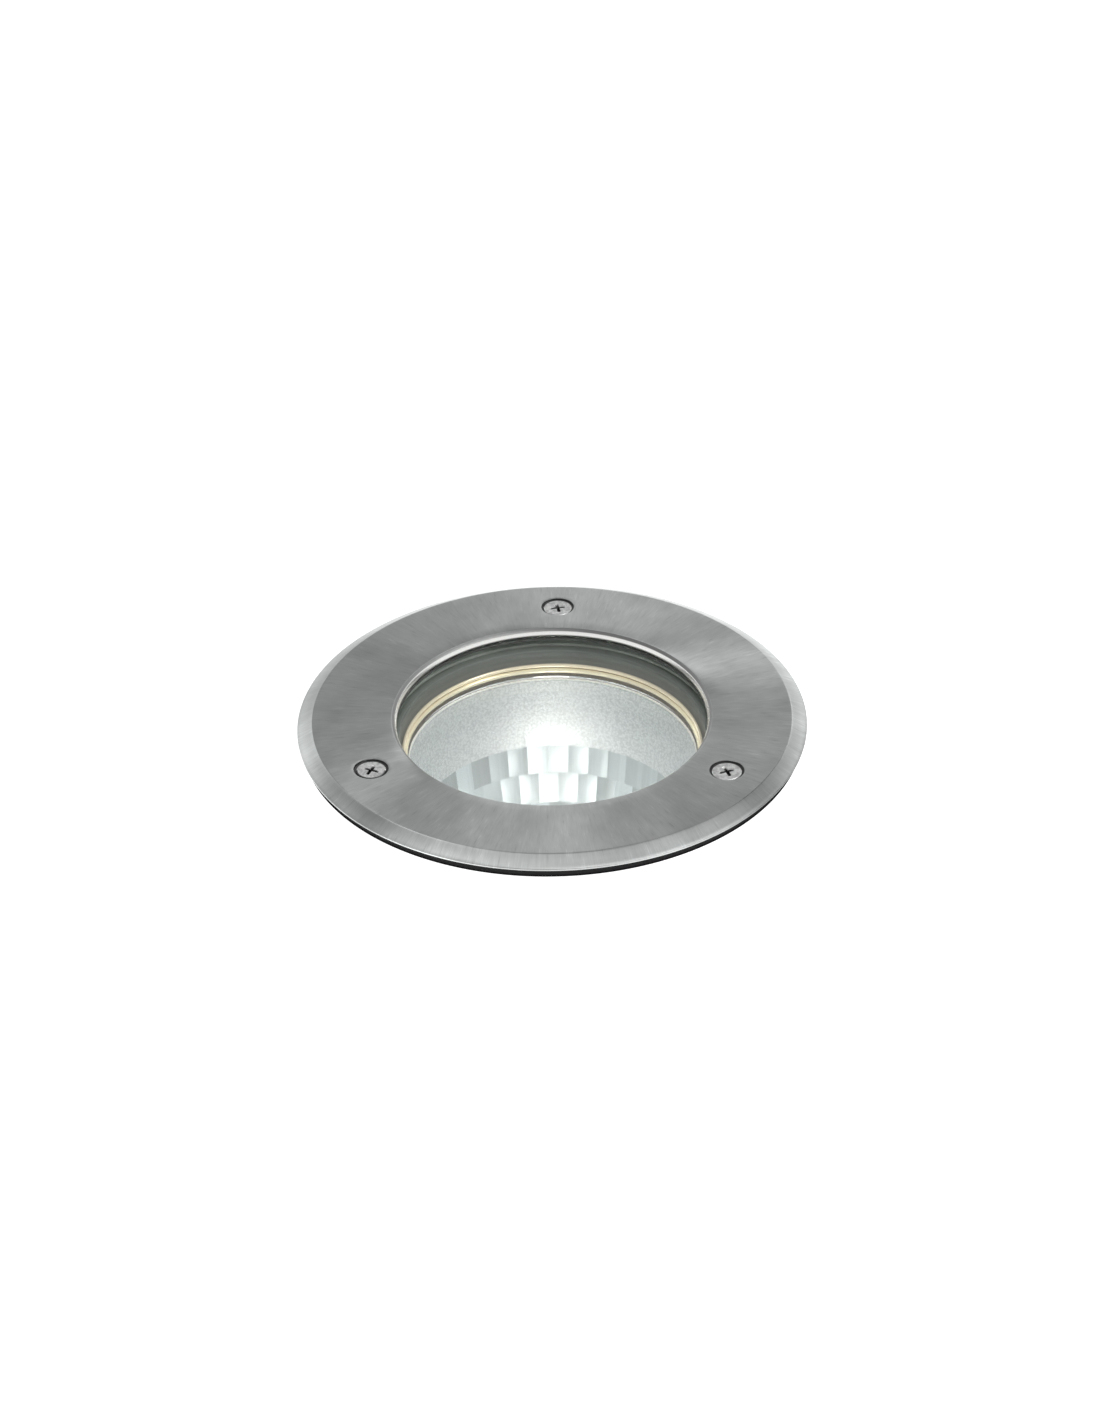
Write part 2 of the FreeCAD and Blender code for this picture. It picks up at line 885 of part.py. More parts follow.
def make_bracket():
    # A bridge of folded strip: two feet, two legs and a bed for the lamp holder.
    high = holder_bottom
    low = floor_top + pad_height
    outer = bracket_half_span
    inner = outer - bracket_thickness
    foot_end = outer + bracket_foot_length
    corners = [
        (-foot_end, low),
        (-inner, low),
        (-inner, high - bracket_thickness),
        (inner, high - bracket_thickness),
        (inner, low),
        (foot_end, low),
        (foot_end, low + bracket_thickness),
        (outer, low + bracket_thickness),
        (outer, high),
        (-outer, high),
        (-outer, low + bracket_thickness),
        (-foot_end, low + bracket_thickness),
    ]
    points = [at(x, -bracket_width / 2, z) for x, z in corners]
    strip = polygon_face(points).extrude(at(0, bracket_width, 0))
    top_edges = [edge for edge in strip.Edges if is_outer_bend(edge, outer, high)]
    strip = strip.makeFillet(bracket_bend_radius, top_edges)
    x = outer + bracket_foot_length / 2
    cutters = [disc(bracket_hole_radius, low - cut_overrun, high, side * x) for side in (-1, 1)]
    cutters.append(disc(contact_radius, low, high + cut_overrun))
    return without(strip, cutters)


def is_outer_bend(edge, half_span, level):
    centre = edge.CenterOfMass
    return abs(abs(centre.x) - half_span) < seat_gap and abs(centre.z - level) < seat_gap


def small_screw(low):
    head_top = low + small_head_height
    shank_radius = small_screw_radius - thread_gap / 2
    shank = disc(shank_radius, low - small_screw_length + thread_gap * 2, low)
    head = disc(small_head_radius, low, head_top)
    slot = block(small_head_radius * 2 + cut_overrun, small_slot_width, head_top - small_slot_depth, head_top + cut_overrun)
    return joined([shank, head]).cut(slot)


def make_bracket_screws():
    seat = floor_top + pad_height + bracket_thickness
    screws = [moved(small_screw(seat), x, y) for x, y in small_screw_places()[:2]]
    return Part.makeCompound(screws)


def make_earth_washer():
    low = floor_top + pad_height
    ring = tube(small_screw_radius + thread_gap, earth_washer_radius, low, low + earth_washer_thickness)
    return moved(ring, 0, -earth_offset)


def make_earth_screw():
    low = floor_top + pad_height + earth_washer_thickness
    return moved(small_screw(low), 0, -earth_offset)


def terminal_pole_places():
    step = terminal_length / terminal_pole_count
    first = -terminal_length / 2 + step / 2
    return [first + step * index for index in range(terminal_pole_count)]


def make_terminal_block():
    base = block(terminal_length, terminal_width, floor_top, floor_top + terminal_height, 0, terminal_offset)
    rims = [edge for edge in base.Edges if abs(edge.CenterOfMass.z - floor_top) > seat_gap]
    base = base.makeChamfer(terminal_edge, rims)
    cutters = []
    for x in terminal_pole_places():
        wire_level = floor_top + terminal_height / 2
        start = at(x, terminal_offset - terminal_width / 2 - cut_overrun, wire_level)
        length = terminal_width + cut_overrun * 2
        cutters.append(Part.makeCylinder(terminal_wire_radius, length, start, at(0, 1, 0)))
        well_low = wire_level + terminal_wire_radius / 2
        cutters.append(disc(terminal_screw_radius, well_low, floor_top + terminal_height + cut_overrun, x, terminal_offset))
    return without(base, cutters)


def make_terminal_screws():
    top = floor_top + terminal_height - terminal_screw_height / 4
    low = floor_top + terminal_height / 2 + terminal_wire_radius
    screws = []
    for x in terminal_pole_places():
        body = disc(terminal_screw_radius - thread_gap / 2, low, top, x, terminal_offset)
        slot = block(terminal_screw_radius * 3, small_slot_width, top - small_slot_depth / 2, top + cut_overrun, x, terminal_offset)
        screws.append(body.cut(slot))
    return Part.makeCompound(screws)


# Cable gland and blanking plug


def make_gland_body():
    stub_radius = entry_radius - entry_wall_gap
    hex_low = entry_face - o_ring_width - gland_hex_height
    stub = disc(stub_radius, entry_face - o_ring_width, entry_face + gland_stub_length)
    neck = disc(gland_nut_flats / 2 - gland_nut_wall, hex_low - gland_nut_hex_height, hex_low)
    body = joined([stub, hexagon(gland_hex_flats, hex_low, entry_face - o_ring_width), neck])
    bore = disc(gland_bore_radius, hex_low - gland_nut_hex_height - cut_overrun, entry_face + gland_stub_length + cut_overrun)
    return moved(body.cut(bore), entry_offset, 0)


def make_o_ring(x):
    ring = tube(entry_radius + entry_wall_gap, gland_hex_flats / 2, entry_face - o_ring_width, entry_face)
    return moved(ring, x, 0)


def make_gland_nut():
    top = entry_face - o_ring_width - gland_hex_height - seat_gap
    hex_low = top - gland_nut_hex_height
    low = hex_low - gland_nut_dome_height
    mouth = gland_nut_mouth_radius + gland_nut_wall
    dome = Part.makeCone(mouth, gland_nut_flats / 2, gland_nut_dome_height, at(0, 0, low))
    nut = joined([hexagon(gland_nut_flats, hex_low, top), dome])
    neck_room = gland_nut_flats / 2 - gland_nut_wall + thread_gap / 2
    room = disc(neck_room, hex_low, top + cut_overrun)
    mouth_bore = disc(gland_nut_mouth_radius, low - cut_overrun, top)
    return moved(nut.cut(room).cut(mouth_bore), entry_offset, 0)


def make_gland_seal():
    top = entry_face - o_ring_width - gland_hex_height
    low = top - gland_nut_hex_height
    high = low + seal_length
    ring = tube(cable_bore_radius, gland_bore_radius - entry_wall_gap, low, high)
    return moved(ring, entry_offset, 0)


def make_blanking_plug():
    stub = disc(entry_radius - entry_wall_gap, entry_face - o_ring_width, entry_face + gland_stub_length)
    low = entry_face - o_ring_width - plug_head_height
    head = hexagon(gland_hex_flats, low, entry_face - o_ring_width)
    cap = Part.makeCone(gland_hex_flats / 2 - plug_chamfer, gland_hex_flats / 2, plug_chamfer, at(0, 0, low - plug_chamfer))
    return moved(joined([stub, head, cap]), -entry_offset, 0)


def make_parts():
    parts = {
        "bezel": make_bezel(),
        "captive_washers": make_captive_washers(),
        "glass": make_glass(),
        "glass_gasket": make_gasket(),
        "support_ring": make_support_ring(),
        "mounting_sleeve": make_sleeve(),
        "housing": make_housing(),
        "housing_fins": make_housing_fins(),
        "lamp_bowl": make_lamp_bowl(),
        "lamp_rim": make_lamp_rim(),
        "lamp_lens": make_lens(),
        "lamp_burner": make_burner(),
        "burner_leads": make_burner_leads(),
        "burner_base": make_burner_base(),
        "lamp_cap_collar": make_cap_collar(),
        "lamp_cap": make_cap(),
        "lamp_cap_insulator": make_cap_insulator(),
        "lamp_cap_tip": make_cap_tip(),
        "holder_body": make_holder_body(),
        "holder_shell": make_holder_shell(),
        "centre_contact": make_centre_contact(),
        "holder_bracket": make_bracket(),
        "bracket_screws": make_bracket_screws(),
        "earth_washer": make_earth_washer(),
        "earth_screw": make_earth_screw(),
        "terminal_block": make_terminal_block(),
        "terminal_screws": make_terminal_screws(),
        "gland_body": make_gland_body(),
        "gland_o_ring": make_o_ring(entry_offset),
        "gland_nut": make_gland_nut(),
        "gland_seal": make_gland_seal(),
        "blanking_plug": make_blanking_plug(),
        "plug_o_ring": make_o_ring(-entry_offset),
    }
    for number, angle in enumerate(screw_angles(), start=1):
        parts["bezel_screw_" + str(number)] = make_bezel_screw(angle)
    return parts


os.makedirs("parts", exist_ok=True)
for name, shape in make_parts().items():
    shape.exportStep("parts/" + name + ".step")
    print(name, len(shape.Solids), "solids", shape.isValid(), round(shape.Volume, 1))
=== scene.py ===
import bpy
import math
import numpy as np
from mathutils import Matrix, Vector


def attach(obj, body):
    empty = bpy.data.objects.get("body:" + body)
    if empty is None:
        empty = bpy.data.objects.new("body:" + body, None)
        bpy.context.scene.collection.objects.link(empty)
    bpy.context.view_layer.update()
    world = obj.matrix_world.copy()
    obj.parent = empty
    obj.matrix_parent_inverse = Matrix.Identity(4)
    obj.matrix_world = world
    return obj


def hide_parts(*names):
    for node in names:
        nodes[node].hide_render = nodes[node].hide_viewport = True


# In-ground light: a brushed steel bezel round a lit reflector lamp.
# Shapes are in millimetres, and makeMesh turns them into metres. Levels and sizes in the looks are in metres.

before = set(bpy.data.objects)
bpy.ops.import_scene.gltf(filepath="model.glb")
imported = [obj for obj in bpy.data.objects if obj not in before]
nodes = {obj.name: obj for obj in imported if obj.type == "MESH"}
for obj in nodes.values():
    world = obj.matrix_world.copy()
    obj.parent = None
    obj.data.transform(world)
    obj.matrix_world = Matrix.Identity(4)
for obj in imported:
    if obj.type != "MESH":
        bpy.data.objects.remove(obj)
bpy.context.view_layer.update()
mm = 0.001
print("frame loaded:", len(nodes), "nodes")


# Camera

cameraView = {
    "standAngle": -87.6,      # degrees from +X, seen from above
    "elevation": 33.77,       # degrees above the ground
    "distance": 1.052,        # metres from the aim point
    "aimHeight": 0.00285,     # metres, the underside of the bezel
    "roll": 1.15,             # degrees
    "lens": 84.76,
    "shiftX": -0.0014,
    "shiftY": 0.0065,
    "clipStart": 0.01,        # metres
}


def towards(azimuth, elevation):
    # The direction out from the middle, with both angles in degrees.
    turn, rise = math.radians(azimuth), math.radians(elevation)
    return Vector((math.cos(turn) * math.cos(rise), math.sin(turn) * math.cos(rise), math.sin(rise)))


def addObject(name, data):
    thing = bpy.data.objects.new(name, data)
    bpy.context.collection.objects.link(thing)
    return thing


def makeCamera(view):
    # The camera's axes are the level ones at its place, turned by the roll about the line of sight.
    back = towards(view["standAngle"], view["elevation"])
    levelRight = towards(view["standAngle"] + 90, 0)
    levelUp = back.cross(levelRight)
    roll = math.radians(view["roll"])
    right = levelRight * math.cos(roll) - levelUp * math.sin(roll)
    up = levelRight * math.sin(roll) + levelUp * math.cos(roll)
    data = bpy.data.cameras.new("camera")
    data.lens = view["lens"]
    data.shift_x = view["shiftX"]
    data.shift_y = view["shiftY"]
    data.clip_start = view["clipStart"]
    camera = addObject("camera", data)
    place = Vector((0, 0, view["aimHeight"])) + back * view["distance"]
    camera.matrix_world = Matrix.Translation(place) @ Matrix((right, up, back)).transposed().to_4x4()
    bpy.context.scene.camera = camera


makeCamera(cameraView)
bpy.context.scene.view_settings.view_transform = "Standard"
bpy.context.scene.view_settings.look = "None"
print("camera placed")


# Node helpers

white, black = (1, 1, 1, 1), (0, 0, 0, 1)
noiseLow, noiseHigh = 0.3, 0.7      # most of a noise's values lie between these
# detail and roughness of each noise
noiseKinds = {"grain": (3.0, 0.6), "coarse": (2.0, 0.5), "patches": (4.0, 0.55), "streaks": (2.0, 0.6)}


def fillInputs(tree, node, inputs):
    # Links each socket, and sets each plain value, on the node's input of that name or number.
    for key, value in inputs.items():
        if isinstance(value, bpy.types.NodeSocket):
            tree.links.new(value, node.inputs[key])
        else:
            node.inputs[key].default_value = value


def addNode(tree, kind, inputs=None, **settings):
    node = tree.nodes.new(kind)
    for key, value in settings.items():
        setattr(node, key, value)
    fillInputs(tree, node, inputs or {})
    return node


def mathNode(tree, operation, first, second=0.0, third=0.0):
    return addNode(tree, "ShaderNodeMath", {0: first, 1: second, 2: third}, operation=operation).outputs[0]


def times(tree, first, *others):
    # The product of all the numbers.
    for other in others:
        first = mathNode(tree, "MULTIPLY", first, other)
    return first


def between(tree, share, first, second):
    # The first value where the share is 0, and the second where it is 1.
    return mathNode(tree, "MULTIPLY_ADD", share, mathNode(tree, "SUBTRACT", second, first), first)


def inBand(tree, value, low, high):
    # 1 where the value lies between the two levels, and 0 elsewhere.
    return times(tree, mathNode(tree, "GREATER_THAN", value, low), mathNode(tree, "LESS_THAN", value, high))


def vectorNode(tree, operation, first, second=(0, 0, 0), output="Vector"):
    return addNode(tree, "ShaderNodeVectorMath", {0: first, 1: second}, operation=operation).outputs[output]


def rangeNode(tree, value, fromLow, fromHigh, toLow, toHigh, smooth=True):
    kind = "SMOOTHSTEP" if smooth else "LINEAR"
    inputs = {"Value": value, "From Min": fromLow, "From Max": fromHigh, "To Min": toLow, "To Max": toHigh}
    return addNode(tree, "ShaderNodeMapRange", inputs, interpolation_type=kind).outputs["Result"]


def spreadRound(tree, noise, middle, share, smooth=True):
    # Turns noise into a value that strays from the middle one by up to a share of it.
    return rangeNode(tree, noise, noiseLow, noiseHigh, middle * (1 - share), middle * (1 + share), smooth)


def below(tree, value, level, blur):
    # 1 below the level and 0 above it, with a soft step as wide as twice the blur.
    return rangeNode(tree, value, level - blur, level + blur, 1.0, 0.0)


def mixColor(tree, share, first, second):
    inputs = {"Factor": share, 6: first, 7: second}
    return addNode(tree, "ShaderNodeMix", inputs, data_type="RGBA").outputs[2]


def toned(tree, color, factor):
    # A colour times one number.
    grey = addNode(tree, "ShaderNodeCombineXYZ", {0: factor, 1: factor, 2: factor}).outputs[0]
    return vectorNode(tree, "MULTIPLY", color, grey)


def noiseNode(tree, place, scale, kind):
    detail, roughness = noiseKinds[kind]
    inputs = {"Vector": place, "Scale": scale, "Detail": detail, "Roughness": roughness}
    return addNode(tree, "ShaderNodeTexNoise", inputs).outputs["Fac"]


def bumpNode(tree, height, depth):
    return addNode(tree, "ShaderNodeBump", {"Height": height, "Distance": depth}).outputs["Normal"]


def objectPlace(tree):
    return addNode(tree, "ShaderNodeTexCoord").outputs["Object"]


def levelOf(tree, place):
    return addNode(tree, "ShaderNodeSeparateXYZ", {0: place}).outputs["Z"]


def fromAxis(tree, place):
    # The level vector from the axis to the place.
    return vectorNode(tree, "MULTIPLY", place, (1, 1, 0))


def attributeOf(tree, name):
    return addNode(tree, "ShaderNodeAttribute", attribute_name=name).outputs["Fac"]


socketKinds = {"Color": "NodeSocketColor", "Normal": "NodeSocketVector"}   # every other socket is a number


def newGroup(name, inputs):
    # Starts a node group whose inputs have the names and values given.
    group = bpy.data.node_groups.new(name, "ShaderNodeTree")
    for label, value in inputs.items():
        kind = socketKinds.get(label, "NodeSocketFloat")
        group.interface.new_socket(label, in_out="INPUT", socket_type=kind).default_value = value
    return group, group.nodes.new("NodeGroupInput").outputs


def closeGroup(group, results):
    # Gives the group an output for each result and links it.
    for label in results:
        kind = socketKinds.get(label, "NodeSocketFloat")
        group.interface.new_socket(label, in_out="OUTPUT", socket_type=kind)
    fillInputs(group, group.nodes.new("NodeGroupOutput"), results)
    return group


def useGroup(tree, group, **values):
    return addNode(tree, "ShaderNodeGroup", values, node_tree=group).outputs


def newMaterial(name):
    material = bpy.data.materials.new(name)
    material.use_nodes = True
    tree = material.node_tree
    tree.nodes.clear()
    return material, tree, tree.nodes.new("ShaderNodeBsdfPrincipled")


def finishMaterial(material, shader, values, surface=None):
    # Fills the shader's inputs and shows it, or shows the surface that was mixed from it.
    fillInputs(material.node_tree, shader, values)
    addNode(material.node_tree, "ShaderNodeOutputMaterial", {"Surface": (surface or shader).outputs[0]})
    return material


def rgba(color):
    return (*color, 1.0)


# Effects that several materials share

grainCoarseScale, grainCoarseShare = 0.23, 0.35
# shares of the turns and of the length that the two wider kinds of streak have
streakMiddle, streakLobe = (0.23, 0.7), (0.022, 0.22)
streakMiddleShare = 0.5


def makeGrainGroup():
    # Fine grain: two sizes of noise on Object coordinates, as a mask and as a bumped normal.
    group, given = newGroup("fineGrain", {"Size": 0.0005, "Depth": 0.00002})
    place = objectPlace(group)
    scale = mathNode(group, "DIVIDE", 1.0, given["Size"])
    fine = noiseNode(group, place, scale, "grain")
    coarse = noiseNode(group, place, times(group, scale, grainCoarseScale), "coarse")
    mask = between(group, grainCoarseShare, fine, coarse)
    return closeGroup(group, {"Mask": mask, "Normal": bumpNode(group, mask, given["Depth"])})


def makePatchGroup():
    # Soft patches: slow noise that lightens and darkens a colour, as handling and ageing do.
    group, given = newGroup("softPatches", {"Color": (0.5, 0.5, 0.5, 1), "Size": 0.03, "Spread": 0.08})
    noise = noiseNode(group, objectPlace(group), mathNode(group, "DIVIDE", 1.0, given["Size"]), "patches")
    mask = rangeNode(group, noise, noiseLow, noiseHigh, 0.0, 1.0)
    swing = mathNode(group, "MULTIPLY_ADD", mask, 2.0, -1.0)
    factor = mathNode(group, "MULTIPLY_ADD", swing, given["Spread"], 1.0)
    return closeGroup(group, {"Color": toned(group, given["Color"], factor), "Mask": mask})


def makeBrushGroup():
    # Radial brushing: noise on the direction from the axis, stretched along the radius, so that scratches
    # run outwards. The reference is the radius at which they have the width given.
    sizes = {"Width": 0.0003, "Length": 0.012, "Reference": 0.065, "Depth": 0.00001}
    group, given = newGroup("radialBrush", sizes)
    flat = fromAxis(group, objectPlace(group))
    radius = vectorNode(group, "LENGTH", flat, output="Value")
    heading = vectorNode(group, "NORMALIZE", flat)
    turns = mathNode(group, "DIVIDE", given["Reference"], given["Width"])
    along = mathNode(group, "DIVIDE", radius, given["Length"])

    def streakNoise(turnShare, alongShare):
        inputs = {0: heading, "Scale": times(group, turns, turnShare)}
        around = addNode(group, "ShaderNodeVectorMath", inputs, operation="SCALE").outputs[0]
        outwards = addNode(group, "ShaderNodeCombineXYZ", {2: times(group, along, alongShare)}).outputs[0]
        return noiseNode(group, vectorNode(group, "ADD", around, outwards), 1.0, "streaks")

    streak = between(group, streakMiddleShare, streakNoise(1.0, 1.0), streakNoise(*streakMiddle))
    normal = bumpNode(group, streak, given["Depth"])
    results = {"Streak": streak, "Lobe": streakNoise(*streakLobe), "Radius": radius, "Normal": normal}
    return closeGroup(group, results)


grainGroup = makeGrainGroup()
patchGroup = makePatchGroup()
brushGroup = makeBrushGroup()
print("shared effects built")


def makePatches(tree, look):
    sizes = {"Size": look["patchSize"], "Spread": look["patchSpread"]}
    return useGroup(tree, patchGroup, Color=rgba(look["color"]), **sizes)


# Plain finishes: colour, roughness, metallic share, size and depth of the grain, spread of the patches

finishColumns = ("color", "roughness", "metallic", "grainSize", "grainDepth", "patchSpread")
plainFinishes = {
    "blackRubber": ((0.05, 0.052, 0.049), 0.66, 0.0, 0.0004, 0.00001, 0.15),
    "gasketRubber": ((0.09, 0.095, 0.088), 0.66, 0.0, 0.0004, 0.00001, 0.15),
    "greyRingPlastic": ((0.27, 0.295, 0.265), 0.4, 0.0, 0.0005, 0.000008, 0.06),
    "blackSleevePlastic": ((0.009, 0.009, 0.0095), 0.6, 0.0, 0.0006, 0.00004, 0.16),
    "castHousingPaint": ((0.11, 0.115, 0.12), 0.5, 0.0, 0.0011, 0.00006, 0.09),
    "leadWire": ((0.6, 0.6, 0.58), 0.25, 1.0, 0.0003, 0.000003, 0.06),
    "whiteCeramic": ((0.76, 0.74, 0.68), 0.28, 0.0, 0.0009, 0.00001, 0.05),
    "capMetal": ((0.62, 0.62, 0.6), 0.33, 1.0, 0.0007, 0.000008, 0.08),
    "capBlackGlass": ((0.02, 0.02, 0.025), 0.12, 0.0, 0.001, 0.000008, 0.1),
    "contactBrass": ((0.72, 0.52, 0.24), 0.3, 1.0, 0.0005, 0.000006, 0.1),
    "zincSteel": ((0.5, 0.51, 0.53), 0.36, 1.0, 0.0008, 0.00001, 0.12),
    "glandPlastic": ((0.035, 0.036, 0.038), 0.42, 0.0, 0.0005, 0.00002, 0.12),
    "goldRim": ((0.99, 0.87, 0.64), 0.2, 0.7, 0.0006, 0.000004, 0.05),
    "screwSteel": ((0.75, 0.76, 0.75), 0.4, 1.0, 0.0006, 0.00003, 0.24),
}
# What some of them have besides. Below each level in bands, the colour is multiplied by the tone beside it,
# out to the bandRadius where there is one; these bands are painted light and shade. The rim has a painted
# glow, by a share of its colour, for light caught from the lens's edge. A screw takes painted shade from the
# second shade level down to the first.
finishExtras = {
    # painted light: the gasket's lower lip, in shade under the glass, is lightened
    "gasketRubber": {"bands": ((-0.004, (5.4, 5.4, 5.4)),), "bandRadius": 0.0553},
    # painted light: the ring's top face, in shade under the gasket, is lighter than the neck and sides below
    # it
    "greyRingPlastic": {"bands": ((-0.0058, (0.64, 0.64, 0.64)),)},
    "blackSleevePlastic": {"specular": 0.2},
    # painted glow; painted shade between the beads and under the lower bead; faint painted highlight on it
    "goldRim": {"glow": 0.24, "bands": (
        (-0.0106, (0.2, 0.18, 0.14)), (-0.01115, (1.03, 1.06, 1.04)), (-0.01238, (0.12, 0.115, 0.1)),
        (-0.01365, (1.0, 1.0, 1.0)),
    )},
    # painted shade in the cross recess and down the head's edge
    "screwSteel": {
        "patchSize": 0.0012, "roughSpread": 0.15, "patchRough": 0.0,
        "shadeLevels": (0.0047, 0.00525), "shadeColor": (0.11, 0.11, 0.11),
    },
}
# What the rest of them have. The roughness strays by a share of itself with the grain and with the patches.
usualExtras = {"roughSpread": 0.12, "patchRough": 0.12, "specular": 0.5}
grainsAcrossPatch = 40
bandBlur = 0.00007


def makeBandTones(tree, look):
    # White above the bands, and each band's tone below its level.
    place = objectPlace(tree)
    level = levelOf(tree, place)
    tone = white
    for height, bandTone in look["bands"]:
        tone = mixColor(tree, below(tree, level, height, bandBlur), tone, rgba(bandTone))
    if "bandRadius" in look:
        radius = vectorNode(tree, "LENGTH", fromAxis(tree, place), output="Value")
        tone = mixColor(tree, mathNode(tree, "LESS_THAN", radius, look["bandRadius"]), white, tone)
    return tone


def makePlainFinish(name, look):
    # A colour with patches and grain, and a roughness that follows both.
    look = {"patchSize": look["grainSize"] * grainsAcrossPatch} | usualExtras | look
    material, tree, shader = newMaterial(name)
    grain = useGroup(tree, grainGroup, Size=look["grainSize"], Depth=look["grainDepth"])
    patches = makePatches(tree, look)
    rough = spreadRound(tree, grain["Mask"], look["roughness"], look["roughSpread"])
    rough = mathNode(tree, "MULTIPLY_ADD", patches["Mask"], look["roughness"] * look["patchRough"], rough)
    color = patches["Color"]
    if "bands" in look:
        color = vectorNode(tree, "MULTIPLY", color, makeBandTones(tree, look))
    if "shadeColor" in look:
        # painted shade in the recesses, and where the mesh's rimShade says
        shade = rangeNode(tree, levelOf(tree, objectPlace(tree)), *look["shadeLevels"], 1.0, 0.0)
        shade = mathNode(tree, "MAXIMUM", shade, attributeOf(tree, "rimShade"))
        color = mixColor(tree, shade, color, rgba(look["shadeColor"]))
    values = {
        "Base Color": color, "Roughness": rough, "Normal": grain["Normal"],
        "Metallic": look["metallic"], "Specular IOR Level": look["specular"],
    }
    if "glow" in look:
        values |= {"Emission Color": color, "Emission Strength": look["glow"]}
    return finishMaterial(material, shader, values)


finishes = {}
for name, row in plainFinishes.items():
    finishes[name] = makePlainFinish(name, dict(zip(finishColumns, row)) | finishExtras.get(name, {}))


# Steel of the bezel. A wedge paints a highlight on a sector, or with a negative strength a shade, as the
# brushed steel's reflections fall there: degrees round the axis, narrowness, strength.

steelLook = {
    "color": (0.482, 0.496, 0.49),
    "roughness": 0.47, "roughSpread": 0.1,
    "anisotropy": 0.88,
    "patchSize": 0.02, "patchSpread": 0.04,
    "streaks": {"Width": 0.0003, "Length": 0.0045, "Depth": 0.0000025},
    "streakSpread": 0.12,
    "lobeSpread": 0.1,
    "scratches": 0.14,        # strength of the sparse light and dark scratches
    "scratchFrom": (0.59, 0.72),    # where in the streaks' noise a light one starts and is full
    "flatPaintedWedges": (
        (31, 60, 0.14), (54, 30, 0.25), (72, 30, 0.08), (106, 60, -0.16), (195, 60, -0.1), (222, 60, -0.1),
        (250, 40, 0.12), (285, 60, -0.1), (340, 30, 0.27),
    ),
    "bevelPaintedWedges": (
        (12, 8, 0.25), (45, 10, 0.2), (98, 8, 0.32), (165, 30, -0.16), (196, 30, 0.5), (243, 60, 0.5),
        (226, 200, -0.2), (300, 60, 0.2), (328, 36, -0.54), (345, 60, -0.18),
    ),
    "flatTone": 1.03,         # brightness of the flat
    "bevelHighlight": 1.24,        # brightness of the bevel's painted highlight at its outer edge
    "bevelStart": 0.0752,
    "highlightRadii": (0.0757, 0.0795),    # the painted highlight grows between these
    "lipRadius": 0.04946, "lipBlur": 0.00005,   # the polished lip lies inside this
    # the lip is polished, and its pale colour is partly a painted highlight
    "lipColor": (0.9, 0.9, 0.88),
    "lipRoughness": 0.2,
    "lipFoot": 0.00365, "footBlur": 0.0003,     # painted shade: the opening's wall is dark below this
    "footColor": (0.075, 0.078, 0.07),
    "grooveBand": (0.04946, 0.05024),           # painted shade: darker between these radii
    "grooveLevel": 0.00556,                     # and below this
    "grooveColor": (0.35, 0.355, 0.35),
    "holeBand": (0.056, 0.0705),                # the screws' holes lie between these radii
    "holeLevels": (0.0053, 0.00575),            # and take painted shade from the second level down to the first
    "shadeColor": (0.12, 0.122, 0.12),
}


